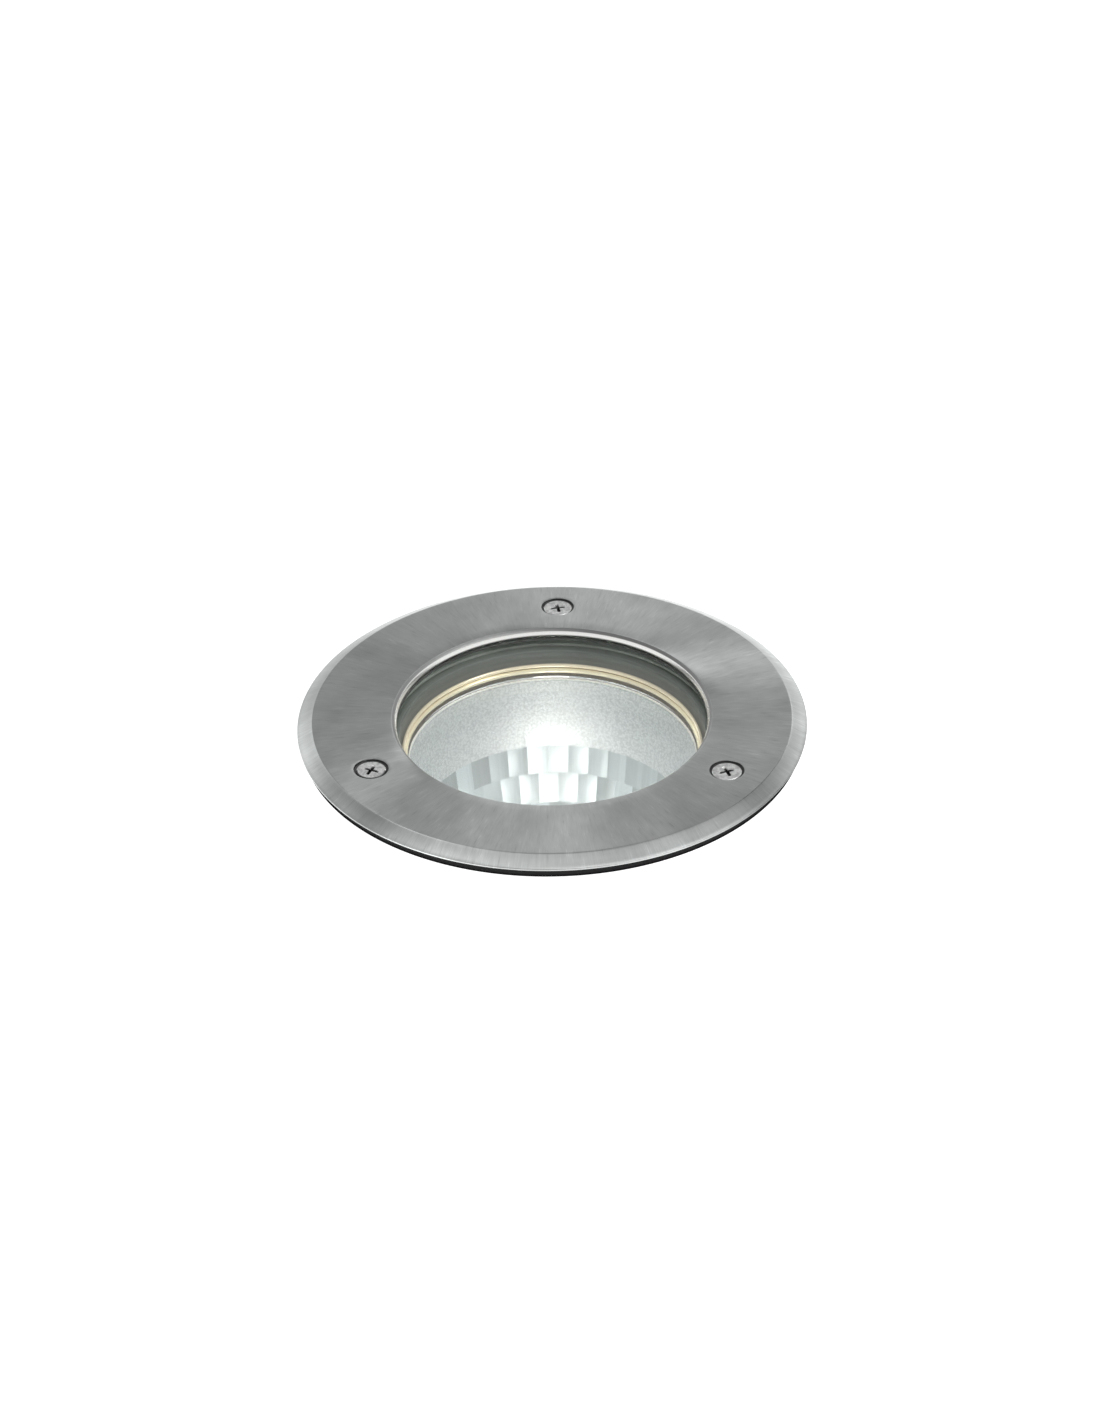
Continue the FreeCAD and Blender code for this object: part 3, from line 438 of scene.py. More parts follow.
def makeSteel(name, look):
    # Brushed steel whose brightness follows the streaks, the wedges' painted highlights and shade, and a
    # painted highlight that grows out to the bevel's edge, with a polished lip inside it. The tangent goes
    # round the axis, which is the way the scratches spread the light.
    material, tree, shader = newMaterial(name)
    brush = useGroup(tree, brushGroup, **look["streaks"])
    noise, radius = brush["Streak"], brush["Radius"]
    place = objectPlace(tree)
    heading = vectorNode(tree, "NORMALIZE", fromAxis(tree, place))
    level = levelOf(tree, place)

    start, full = look["scratchFrom"]
    light = rangeNode(tree, noise, start, full, 0.0, look["scratches"])
    dark = rangeNode(tree, noise, 1 - start, 1 - full, 0.0, look["scratches"])
    scratches = mathNode(tree, "SUBTRACT", mathNode(tree, "ADD", light, 1.0), dark)
    streak = spreadRound(tree, noise, 1.0, look["streakSpread"], False)
    lobe = spreadRound(tree, brush["Lobe"], 1.0, look["lobeSpread"], False)
    # painted highlight on the bevel, growing out to its edge
    rise = rangeNode(tree, radius, *look["highlightRadii"], look["flatTone"], look["bevelHighlight"])
    factor = times(tree, streak, lobe, scratches, rise)
    onFlat = mathNode(tree, "LESS_THAN", radius, look["bevelStart"])
    onBevel = mathNode(tree, "SUBTRACT", 1.0, onFlat)
    # painted highlight and painted shade on sectors of the flat and of the bevel
    for where, paintedWedges in ((onFlat, look["flatPaintedWedges"]), (onBevel, look["bevelPaintedWedges"])):
        for angle, narrowness, strength in paintedWedges:
            facing = vectorNode(tree, "DOT_PRODUCT", heading, towards(angle, 0), output="Value")
            facing = mathNode(tree, "MAXIMUM", facing, 0.0)
            paintedWedge = times(tree, where, mathNode(tree, "POWER", facing, narrowness))
            factor = times(tree, factor, mathNode(tree, "MULTIPLY_ADD", paintedWedge, strength, 1.0))

    # the lip: polished, and pale with a painted highlight
    lip = below(tree, radius, look["lipRadius"], look["lipBlur"])
    # painted shade on the opening's wall below the lip
    foot = times(tree, lip, below(tree, level, look["lipFoot"], look["footBlur"]))
    # painted shade in the groove outside the lip
    groove = times(tree, inBand(tree, radius, *look["grooveBand"]),
                   mathNode(tree, "LESS_THAN", level, look["grooveLevel"]))
    # painted shade down the screws' holes
    hole = times(tree, inBand(tree, radius, *look["holeBand"]),
                 rangeNode(tree, level, *look["holeLevels"], 1.0, 0.0))
    color = toned(tree, makePatches(tree, look)["Color"], factor)
    for share, over in ((lip, "lip"), (foot, "foot"), (groove, "groove"), (hole, "shade")):
        color = mixColor(tree, share, color, rgba(look[over + "Color"]))
    rough = spreadRound(tree, noise, look["roughness"], look["roughSpread"])

    parts = addNode(tree, "ShaderNodeSeparateXYZ", {0: heading}).outputs
    turned = {0: times(tree, parts["Y"], -1.0), 1: parts["X"]}
    across = addNode(tree, "ShaderNodeCombineXYZ", turned).outputs[0]
    spaces = {"vector_type": "VECTOR", "convert_from": "OBJECT", "convert_to": "WORLD"}
    return finishMaterial(material, shader, {
        "Base Color": color, "Roughness": between(tree, lip, rough, look["lipRoughness"]),
        "Normal": brush["Normal"], "Metallic": 1.0, "Anisotropic": look["anisotropy"],
        "Tangent": addNode(tree, "ShaderNodeVectorTransform", {0: across}, **spaces).outputs[0],
    })


finishes["brushedBezelSteel"] = makeSteel("brushedBezelSteel", steelLook)


# Glass refracts what the camera sees, and lets light rays pass so that the inside is lit.

glassLook = {
    "clearGlass": {"color": (0.975, 0.986, 0.981), "ior": 1.5, "shadowTint": (0.93, 0.95, 0.945)},
    "lensGlass": {"color": (0.985, 0.99, 0.99), "ior": 1.47, "shadowTint": (0.95, 0.955, 0.955)},
}
smearLook = {"patchSize": 0.05, "patchSpread": 0.012, "roughness": 0.03}


def makeGlass(name, look):
    # Clear, with faint smears that roughen it. Shadow and diffuse rays meet a tinted clear surface instead.
    material, tree, shader = newMaterial(name)
    patches = makePatches(tree, look)
    clear = addNode(tree, "ShaderNodeBsdfTransparent", {"Color": rgba(look["shadowTint"])})
    path = tree.nodes.new("ShaderNodeLightPath").outputs
    lit = mathNode(tree, "MAXIMUM", path["Is Shadow Ray"], path["Is Diffuse Ray"])
    mixed = addNode(tree, "ShaderNodeMixShader", {0: lit, 1: shader.outputs[0], 2: clear.outputs[0]})
    return finishMaterial(material, shader, {
        "Base Color": patches["Color"], "IOR": look["ior"], "Transmission Weight": 1.0,
        "Roughness": rangeNode(tree, patches["Mask"], 0.0, 1.0, 0.0, look["roughness"]),
    }, mixed)


for name, look in glassLook.items():
    finishes[name] = makeGlass(name, look | smearLook)


# Reflector: stippled aluminium above, bright facets below

reflectorLook = {
    "color": (0.89, 0.905, 0.905), "patchSize": 0.02, "patchSpread": 0.012,
    "stippleMetallic": 0.6, "stippleRoughness": 0.39,
    "facetMetallic": 0.28, "facetRoughness": 0.3,
    "facetTint": (0.93, 0.985, 1.0),
    "dimpleSize": 0.00078, "dimpleDepth": 0.00005,
    "dimpleCells": (0.1, 0.75),         # distances from a cell's middle, for the two tones below
    "dimpleTones": (1.1, 0.77),
    "coneHighlightLevels": (-0.034, -0.018),       # painted highlight: the cone grows brighter from the first level to the second
    "coneHighlight": 1.15,                   # brightness of the painted highlight at the second level
    "streaks": {"Width": 0.0006, "Length": 0.03, "Reference": 0.042},
    "streakSpread": 0.12,               # fine upright streaks in the facets
    "mouthTop": -0.01665, "mouthBlur": 0.00002,
    "mouthLevels": (-0.01715, -0.01695),    # painted shade: below the lens it grows darker between these
    "mouthShade": 0.75,                 # brightness of the painted shade there
    "seatPaintedGlow": (0.42, 0.42, 0.4),      # painted glow on the seat, for light caught by the lens's edge
}
coneMark = 2.0              # the painted facet tone that stands for the cone
toneLimits = (0.1, 1.5)     # every facet's own painted tone lies between these


def makeReflector(name, look):
    # The cone has small dimples, a cell pattern as a tone and a bump, and a painted highlight towards its
    # top. The facets are smooth, and each has its own tone from the mesh, a painted reflection. A mesh
    # without tones is taken for the cone. The wall just below the lens gets painted shade, and the seat under
    # the lens's edge a painted glow.
    material, tree, shader = newMaterial(name)
    place = objectPlace(tree)
    level = levelOf(tree, place)
    scale = 1 / look["dimpleSize"]
    cells = addNode(tree, "ShaderNodeTexVoronoi", {"Vector": place, "Scale": scale}).outputs["Distance"]
    brush = useGroup(tree, brushGroup, **look["streaks"])

    least, most = toneLimits
    # painted reflections of the facets, one tone each
    tone = attributeOf(tree, "paintedFacetTone")
    tone = mathNode(tree, "MULTIPLY_ADD", mathNode(tree, "LESS_THAN", tone, least), coneMark, tone)
    onCone = mathNode(tree, "GREATER_THAN", tone, most)
    facet = times(tree, tone, spreadRound(tree, brush["Streak"], 1.0, look["streakSpread"], False))
    stipple = rangeNode(tree, cells, *look["dimpleCells"], *look["dimpleTones"], False)
    # painted highlight towards the cone's top
    stipple = times(tree, stipple, rangeNode(tree, level, *look["coneHighlightLevels"], 1.0, look["coneHighlight"]))
    wall = mathNode(tree, "LESS_THAN", level, look["mouthTop"] - look["mouthBlur"])
    # painted shade just below the lens
    mouth = rangeNode(tree, level, *look["mouthLevels"], 1.0, look["mouthShade"])
    mask = times(tree, between(tree, onCone, facet, stipple), between(tree, wall, 1.0, mouth))
    tint = mixColor(tree, onCone, rgba(look["facetTint"]), white)
    color = toned(tree, makePatches(tree, look)["Color"], mask)

    smooth = addNode(tree, "ShaderNodeNewGeometry").outputs["Normal"]
    dimpled = bumpNode(tree, cells, look["dimpleDepth"])
    normals = {"Factor": onCone, 4: smooth, 5: dimpled}
    metallic, rough = (rangeNode(tree, onCone, 0.0, 1.0, look["facet" + key], look["stipple" + key])
                       for key in ("Metallic", "Roughness"))
    return finishMaterial(material, shader, {
        "Base Color": vectorNode(tree, "MULTIPLY", color, tint),
        "Metallic": metallic, "Roughness": rough,
        "Normal": addNode(tree, "ShaderNodeMix", normals, data_type="VECTOR").outputs[1],
        # the seat's painted glow
        "Emission Color": mixColor(tree, wall, rgba(look["seatPaintedGlow"]), black), "Emission Strength": 1.0,
    })


finishes["reflectorSilver"] = makeReflector("reflectorSilver", reflectorLook)


# Burner: a lit quartz capsule, brightest round its filament

burnerLook = {
    "color": (1.0, 0.985, 0.955), "strength": 27.0, "roughness": 0.2,
    "patchSize": 0.004, "patchSpread": 0.05,
    "filamentLevel": -0.0595,
    "filamentReach": (0.0016, 0.0064),  # from there, for full brightness and for the least
    "leastShare": 0.07,
}


def makeGlow(name, look):
    material, tree, shader = newMaterial(name)
    level = levelOf(tree, objectPlace(tree))
    away = mathNode(tree, "ABSOLUTE", mathNode(tree, "SUBTRACT", level, look["filamentLevel"]))
    near = rangeNode(tree, away, *look["filamentReach"], 1.0, look["leastShare"])
    return finishMaterial(material, shader, {
        "Base Color": rgba(look["color"]), "Roughness": look["roughness"],
        "Emission Color": toned(tree, makePatches(tree, look)["Color"], near),
        "Emission Strength": look["strength"],
    })


finishes["burnerGlow"] = makeGlow("burnerGlow", burnerLook)
print("finishes built:", len(finishes))


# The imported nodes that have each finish

finishNodes = {
    "blackSleevePlastic": ("mounting_sleeve",),
    "castHousingPaint": ("housing", "housing_fins"),
    "zincSteel": ("captive_washers", "holder_bracket", "bracket_screws", "earth_screw", "terminal_screws"),
    "burnerGlow": ("lamp_burner",),
    "leadWire": ("burner_leads",),
    "whiteCeramic": ("burner_base", "lamp_cap_collar", "holder_body", "terminal_block"),
    "capMetal": ("lamp_cap", "lamp_cap_tip"),
    "capBlackGlass": ("lamp_cap_insulator",),
    "contactBrass": ("holder_shell", "centre_contact", "earth_washer"),
    "glandPlastic": ("gland_body", "gland_nut", "blanking_plug"),
    "blackRubber": ("gland_o_ring", "gland_seal", "plug_o_ring"),
    "brushedBezelSteel": ("bezel",),
    "screwSteel": ("bezel_screw_1", "bezel_screw_2", "bezel_screw_3"),
    "clearGlass": ("glass",),
    "gasketRubber": ("glass_gasket",),
    "greyRingPlastic": ("support_ring",),
    "goldRim": ("lamp_rim",),
    "lensGlass": ("lamp_lens",),
    "reflectorSilver": ("lamp_bowl",),
}
for finishName, nodeNames in finishNodes.items():
    for nodeName in nodeNames:
        mesh = nodes[nodeName].data
        mesh.materials.clear()
        mesh.materials.append(finishes[finishName])


# Mesh helpers

roundSegments = 288     # round the turned pieces
cornerSteps = 4         # along a softened corner
nearAxis = 1e-9         # a smaller radius is on the axis
samePoint = 1e-7        # points nearer than this are one


def gridFaces(rows, columns, closeRows):
    # Four-sided faces between neighbouring points of a grid that closes round its columns, and over its rows
    # too where that is asked for.
    index = np.arange(rows * columns).reshape(rows, columns)
    lower = np.roll(index, -1, axis=0) if closeRows else index[1:]
    index = index if closeRows else index[:-1]
    faces = [index, np.roll(index, -1, axis=1), np.roll(lower, -1, axis=1), lower]
    return np.stack(faces, axis=-1).reshape(-1, 4)


def poleFaces(rows, columns):
    # Three-sided faces from the grid's first row to the point after its last one, and from its last row to
    # the point after that.
    around = np.arange(columns)
    ahead = np.roll(around, -1)
    last = (rows - 1) * columns
    top = np.stack([ahead, around, np.full(columns, rows * columns)], axis=-1)
    low = np.stack([last + around, last + ahead, np.full(columns, rows * columns + 1)], axis=-1)
    return [top, low]


def roundAxis(radius, angle, height, centre=(0, 0)):
    # Points at a radius and an angle from an upright axis, row by row.
    x = radius * np.cos(angle) + centre[0]
    y = radius * np.sin(angle) + centre[1]
    return np.stack([x, y, height + 0 * x], axis=-1).reshape(-1, 3)


def onCircle(radius, angle):
    # A level place at a radius, and at an angle in degrees.
    turn = math.radians(angle)
    return np.array([math.cos(turn), math.sin(turn)]) * radius


def enclosedVolume(points, faces):
    # Sum of the signed pyramids from the origin over each face's first three and last three corners.
    first = np.einsum("ij,ij->i", points[faces[:, 0]], np.cross(points[faces[:, 1]], points[faces[:, 2]]))
    second = np.einsum("ij,ij->i", points[faces[:, 0]], np.cross(points[faces[:, 2]], points[faces[:, -1]]))
    return (first.sum() + (second.sum() if faces.shape[1] == 4 else 0)) / 6


def makeMesh(name, points, faceSets):
    mesh = bpy.data.meshes.new(name)
    faces = [face for faceSet in faceSets for face in faceSet.tolist()]
    mesh.from_pydata((points * mm).tolist(), [], faces)
    return mesh


def addPiece(name, points, faceSets, body, slot, standsFor, sharp=35.0):
    # One piece with its faces turned to look outwards, in the finish of the node that it stands for.
    if sum(enclosedVolume(points, faces) for faces in faceSets) < 0:
        faceSets = [faces[:, ::-1] for faces in faceSets]
    mesh = makeMesh(name, points, faceSets)
    mesh.shade_smooth()
    mesh.set_sharp_from_angle(angle=math.radians(sharp))
    mesh.materials.append(nodes[standsFor[0]].data.materials[0])
    piece = addObject(name, mesh)
    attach(piece, body)
    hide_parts(*standsFor)
    return piece


def softened(corners, radius):
    # Each corner of a closed outline becomes a short curve that starts and ends up to radius away from it.
    # One more point on either side of the curve keeps the straight stretches flat in the shading.
    corners = np.asarray(corners, float)
    before, after = np.roll(corners, 1, axis=0) - corners, np.roll(corners, -1, axis=0) - corners
    lengthBefore, lengthAfter = np.linalg.norm(before, axis=1), np.linalg.norm(after, axis=1)
    most = 0.38     # of the side that the corner ends
    reach = np.minimum(np.broadcast_to(radius, len(corners)), lengthBefore * most)
    reach = np.minimum(reach, lengthAfter * most)
    reach = np.where(corners[:, 0] < nearAxis, 0.0, reach)
    start = corners + before * (reach / lengthBefore)[:, None]
    end = corners + after * (reach / lengthAfter)[:, None]
    t = np.linspace(0, 1, cornerSteps + 1)[None, :, None]
    curve = start[:, None] * (1 - t) ** 2 + 2 * corners[:, None] * t * (1 - t) + end[:, None] * t ** 2
    hold = 0.25     # of the reach, for the two further points
    holdBefore, holdAfter = start + (start - corners) * hold, end + (end - corners) * hold
    curve = np.concatenate([holdBefore[:, None], curve, holdAfter[:, None]], axis=1).reshape(-1, 2)
    keep = np.linalg.norm(curve - np.roll(curve, 1, axis=0), axis=1) > samePoint
    return curve[keep]


def addTurned(name, outline, *naming, **settings):
    # A closed outline of (radius, height) points carried round the axis. An outline that starts and ends on
    # the axis gets a single point at each pole.
    outline = np.asarray(outline, float)
    onAxis = outline[0, 0] < nearAxis
    rows = outline[1:-1] if onAxis else outline
    angle = np.linspace(0, 2 * math.pi, roundSegments, endpoint=False)
    points = roundAxis(rows[:, :1], angle, rows[:, 1:])
    faceSets = [gridFaces(len(rows), roundSegments, not onAxis)]
    if onAxis:
        points = np.vstack([points, [0, 0, outline[0, 1]], [0, 0, outline[-1, 1]]])
        faceSets += poleFaces(len(rows), roundSegments)
    return addPiece(name, points, faceSets, *naming, **settings)


# Bezel: a ring with a bevel, a soft roll, a groove and a polished lip, and three countersunk holes

bezelShape = {
    "underside": 2.85, "top": 5.85, "outerRadius": 80.0, "edgeHeight": 0.5, "bevelStart": 75.2,
    "segments": 360,
    "patchLow": 54.4, "patchHigh": 71.4, "patchSteps": 16,      # the radii of the holes' square patches
    "underInner": (49.0, 51.5), "underOuter": (75.5, 79.75), "bevelRadii": (79.0, 77.2, 75.9, 75.45),
    "edge": ((79.93, 0.07), (80.0, 0.25), (80.0, 0.42), (79.95, 0.53), (79.8, 0.64)),   # radius, rise
    "shoulder": ((75.25, 0.035), (75.0, 0.006), (74.6, 0.0)),   # radius, drop from the top
    "rollDrop": 0.22, "rollStart": 54.0, "rollEnd": 50.35, "rollPoints": 10,
    # from the roll's end through the groove and down the lip: radius, below the roll's end
    "lip": (
        (50.27, 0.03), (50.2, 0.1), (50.0, 0.3), (49.7, 0.58), (49.5, 0.74), (49.43, 0.8), (49.37, 0.88),
        (49.3, 1.02), (49.15, 1.36), (49.0, 1.7), (48.88, 1.99), (48.82, 2.16), (48.8, 2.35),
    ),
    "foot": ((48.8, 0.2), (48.86, 0.06)),       # radius, above the underside
    "screwRadius": 62.9, "screwAngles": (90, 210, 330),
    "mouthRadius": 5.52, "holeRadius": 2.8, "ringSteps": 5,
    # down the hole: radius, height
    "holeWall": (
        (5.42, 5.81), (5.4, 5.73), (5.4, 5.15), (5.3, 5.05), (4.85, 5.05), (4.7, 4.98), (3.1, 3.2),
        (2.8, 3.05), (2.8, 2.95),
    ),
}


def bezelOutline(shape):
    # The section's points: underside outwards, edge, bevel, flat top inwards, roll, groove and lip. The roll
    # drops by the square of the way along it. With them come the rows where the holes' patches start.
    top, low, outer = shape["top"], shape["underside"], shape["outerRadius"]
    patch = np.linspace(shape["patchLow"], shape["patchHigh"], shape["patchSteps"] + 1)
    under = [(r, low) for r in (*shape["underInner"], *patch, *shape["underOuter"])]
    edge = [(r, low + rise) for r, rise in shape["edge"]]
    slope = (top - low - shape["edgeHeight"]) / (outer - shape["bevelStart"])
    bevel = [(r, low + shape["edgeHeight"] + (outer - r) * slope) for r in shape["bevelRadii"]]
    bevel += [(r, top - drop) for r, drop in shape["shoulder"]]
    flat = [(r, top) for r in patch[::-1]]
    length = shape["patchLow"] - shape["rollEnd"]
    rollRadii = np.linspace(shape["rollStart"], shape["rollEnd"], shape["rollPoints"])
    roll = [(r, top - shape["rollDrop"] * ((shape["patchLow"] - r) / length) ** 2) for r in rollRadii]
    lip = [(r, top - shape["rollDrop"] - drop) for r, drop in shape["lip"]]
    lip += [(r, low + rise) for r, rise in shape["foot"]]
    topStart = len(under) + len(edge) + len(bevel)
    return np.array(under + edge + bevel + flat + roll + lip), len(shape["underInner"]), topStart


def makeBezel(shape):
    # The grid of section points by angle. Round each screw a square patch of it becomes rings that blend
    # from the patch's border to a circle, and the circle goes down as the countersunk hole to the underside.
    outline, underStart, topStart = bezelOutline(shape)
    segments, steps = shape["segments"], shape["patchSteps"]
    size = (len(outline), segments)
    points = roundAxis(outline[:, :1], np.arange(segments) * 2 * math.pi / segments, outline[:, 1:])
    faces = gridFaces(*size, True)
    index = np.arange(len(points)).reshape(size)
    inPatch = np.zeros(size, bool)
    faceSets, pointSets = [], [points]
    count = len(points)
    side = np.arange(steps)
    rowStep = np.concatenate([0 * side, side, steps + 0 * side, steps - side])
    columnStep = np.concatenate([side, steps + 0 * side, steps - side, 0 * side])
    blend = np.linspace(1, 0, shape["ringSteps"] + 1)[1:, None, None]
    wall = np.array(shape["holeWall"])
    wallShare = np.linspace(0, 1, len(wall))[:, None, None]
    for screwAngle in shape["screwAngles"]:
        firstColumn = screwAngle * segments // 360 - steps // 2
        centre = onCircle(shape["screwRadius"], screwAngle)
        borders, headings = [], []
        for start, rowSteps in ((topStart, steps - rowStep), (underStart, rowStep)):
            inPatch[start:start + steps, (firstColumn + side) % segments] = True
            border = index[start + rowSteps, (firstColumn + columnStep) % segments]
            away = points[border][:, :2] - centre
            borders.append(border)
            headings.append(away / np.linalg.norm(away, axis=1)[:, None])

        def ringPoints(which, holeRadius, level):
            # Points between the border and the hole's circle, straight across.
            circle = centre + headings[which] * holeRadius
            flat = circle + (points[borders[which]][:, :2] - circle) * blend
            return np.concatenate([flat, np.full(flat.shape[:2] + (1,), level)], axis=-1)

        upper = ringPoints(0, shape["mouthRadius"], shape["top"])
        lower = ringPoints(1, shape["holeRadius"], shape["underside"])[::-1]
        direction = headings[0] * (1 - wallShare) + headings[1] * wallShare
        heights = np.broadcast_to(wall[:, 1:, None], direction.shape[:2] + (1,))
        hole = np.concatenate([centre + direction * wall[:, :1, None], heights], axis=-1)
        rings = np.concatenate([upper, hole, lower])
        number = count + np.arange(rings.size // 3).reshape(rings.shape[:2])
        ladder = np.vstack([borders[0][None], number, borders[1][None]])
        ahead = np.roll(ladder, -1, axis=1)
        faceSets.append(np.stack([ladder[:-1], ahead[:-1], ahead[1:], ladder[1:]], axis=-1).reshape(-1, 4))
        pointSets.append(rings.reshape(-1, 3))
        count += number.size
    return np.vstack(pointSets), [faces[~inPatch.reshape(-1)]] + faceSets


bezel = addPiece("bezelRing", *makeBezel(bezelShape), "bezel", "brushed_bezel_steel", ["bezel"], sharp=40)
print("bezel made:", len(bezel.data.polygons), "faces")


# Bezel screws: countersunk heads with a cross recess, and a rolled thread

screwShape = {
    "headTop": 5.4, "headRadius": 4.65, "facePoints": 46, "faceInner": 0.06, "faceOuter": 4.3, "crown": 0.05,
    # round the head's edge and down the cone: radius, height
    "edge": ((4.38, 5.37), (4.52, 5.3), (4.62, 5.2), (4.65, 5.1), (4.55, 4.98), (3.5, 4.0), (2.55, 3.05)),
    "threadTop": 2.9, "threadRadius": 2.5, "threadDepth": 0.28, "pitch": 0.8, "pitchRows": 8,
    "end": -11.6, "pointHeight": 1.0,
    "point": ((2.3, 0.6), (1.5, 0.05), (1.3, 0.0)),     # radius, above the end
    "wingWidth": 0.95, "wingSpan": 2.7, "wingFoot": 1.2, "wingSlope": 0.12, "recessDepth": 1.5,
    "columns": 112, "circleRadius": 62.9, "angles": (90, 210, 330), "crossTurns": (77, 23, 68),
    "paintedShadeScrew": 2, "paintedShadeWidth": 0.5,       # this head has painted shade on its near edge, as in the photo
}


def recessDepth(x, y, shape):
    # How far down the cross goes: each wing is deep within half its width and rises to its ends.
    def wing(along, across):
        within = np.clip((shape["wingWidth"] / 2 - np.abs(across)) / shape["wingSlope"] + 0.5, 0, 1)
        slope = shape["recessDepth"] / (shape["wingSpan"] - shape["wingFoot"])
        return within * np.clip((shape["wingSpan"] - np.abs(along)) * slope, 0, shape["recessDepth"])
    return np.maximum(wing(x, y), wing(y, x))


def makeScrew(shape, centre, crossTurn):
    # Rows go from the middle of the head outwards, round the edge, down the cone and along the thread, where
    # the radius follows a saw of height over the pitch less the angle over a full turn.
    columns, top, end = shape["columns"], shape["headTop"], shape["end"]
    angle = np.linspace(0, 2 * math.pi, columns, endpoint=False)[None, :]
    face = np.linspace(shape["faceInner"], shape["faceOuter"], shape["facePoints"])
    thread = np.arange(shape["threadTop"], end + shape["pointHeight"], -shape["pitch"] / shape["pitchRows"])
    rows = np.vstack([
        np.stack([face, top + 0 * face], axis=-1),
        shape["edge"],
        np.stack([shape["threadRadius"] + 0 * thread, thread], axis=-1),
        [(r, end + rise) for r, rise in shape["point"]],
    ])
    radius = rows[:, :1] + 0 * angle
    height = rows[:, 1:] + 0 * angle
    number = np.arange(len(rows))[:, None]
    turn = angle + math.radians(crossTurn)
    drop = recessDepth(radius * np.cos(turn), radius * np.sin(turn), shape)
    drop = drop + shape["crown"] * (radius / shape["headRadius"]) ** 2
    height = height - (number < len(face)) * drop
    saw = np.abs(np.mod(height / shape["pitch"] - angle / (2 * math.pi), 1.0) * 2 - 1)
    start = len(face) + len(shape["edge"])
    onThread = (number >= start) & (number < start + len(thread))
    radius = radius - onThread * shape["threadDepth"] * (1 - saw)
    poles = [[*centre, top - shape["recessDepth"]], [*centre, end]]
    points = np.vstack([roundAxis(radius, angle, height, centre), poles])
    return points, [gridFaces(len(rows), columns, False)] + poleFaces(len(rows), columns)


for number, angle in enumerate(screwShape["angles"], start=1):
    centre = onCircle(screwShape["circleRadius"], angle)
    points, faceSets = makeScrew(screwShape, centre, screwShape["crossTurns"][number - 1])
    naming = f"screw_{number}", "screw_steel", [f"bezel_screw_{number}"]
    piece = addPiece(f"bezelScrew{number}", points, faceSets, *naming, sharp=30)
    # painted shade on the near half of this head's edge, carried by the rimShade attribute
    if number == screwShape["paintedShadeScrew"]:
        away = points[:, :2] - centre
        dark = np.linalg.norm(away, axis=1) > screwShape["headRadius"] - screwShape["paintedShadeWidth"]
        shade = (dark & (away[:, 1] < 0)).astype(float)
        piece.data.attributes.new("rimShade", "FLOAT", "POINT").data.foreach_set("value", shade)
print("screws made")


# Glass, gasket and support ring

glassShape = {"radius": 55.0, "top": 1.6, "bottom": -4.4, "arris": 0.5}

gasketShape = {
    "radius": 56.9, "top": 2.6, "bottom": -5.4, "topOpening": 48.95, "bottomOpening": 51.0,
    "softness": (0.3, 0.6, 0.6, 0.4, 0.2, 0.4, 0.4, 0.2),
}

ringShape = {
    "radius": 57.05, "top": -5.65, "bottom": -7.65,
    "neckRadius": 48.3, "neckOuter": 49.8, "neckBottom": -14.65,
    "softness": (0.5, 0.5, 0.6, 0.3, 0.3, 0.8),
}


def discOutline(shape):
    # The section of a flat disc with a softened edge, from the axis outwards and back.
    low, top, radius = shape["bottom"], shape["top"], shape["radius"]
    return softened([(0, low), (radius, low), (radius, top), (0, top)], shape["arris"])


def gasketOutline(shape, glass):
    # A channel open inwards that the glass's edge lies in.
    outer, inner, top, low = shape["radius"], glass["radius"], shape["top"], shape["bottom"]
    topOpening, bottomOpening = shape["topOpening"], shape["bottomOpening"]
    corners = [(bottomOpening, low), (outer, low), (outer, top), (topOpening, top),
               (topOpening, glass["top"]), (inner, glass["top"]), (inner, glass["bottom"]),
               (bottomOpening, glass["bottom"])]
    return softened(corners, shape["softness"])


def ringOutline(shape):
    # A flat ring with a short neck down from its inner edge.
    inner, neck, outer = shape["neckRadius"], shape["neckOuter"], shape["radius"]
    foot, low, top = shape["neckBottom"], shape["bottom"], shape["top"]
    corners = [(inner, foot), (neck, foot), (neck, low), (outer, low), (outer, top), (inner, top)]
    return softened(corners, shape["softness"])


addTurned("glassDisc", discOutline(glassShape), "glass", "clear_glass", ["glass"])
addTurned("glassGasket", gasketOutline(gasketShape, glassShape), "glass", "black_rubber", ["glass_gasket"])
addTurned("supportRing", ringOutline(ringShape), "housing", "grey_ring_plastic", ["support_ring"])
print("glass, gasket and ring made")


# Lamp: gold rim with two beads, lens, and the stippled and faceted bowl

lensShape = {"radius": 46.3, "top": -13.6, "bottom": -16.6, "arris": 0.45}

rimShape = {
    "upperBead": (46.9, -10.25, 0.6), "lowerBead": (46.45, -11.85, 0.62),   # radius, height, size
    "upperArc": (-10, 215, 18), "lowerArc": (78, 225, 14),      # degrees from outwards, points
    "skirtInner": 46.95, "skirtOuter": 47.45, "skirtBottom": -21.6, "skirtArris": (0.05, 0.1),
    "throat": ((45.98, -12.65), (45.75, -13.2)),                # radius, height
    "crimp": ((45.6, 0.14), (45.62, 0.03), (46.0, 0.02)),       # radius, above the lens
    "corner": ((0.05, 0.0), (0.0, 0.08)),                       # inside the skirt, below the lens's top
}

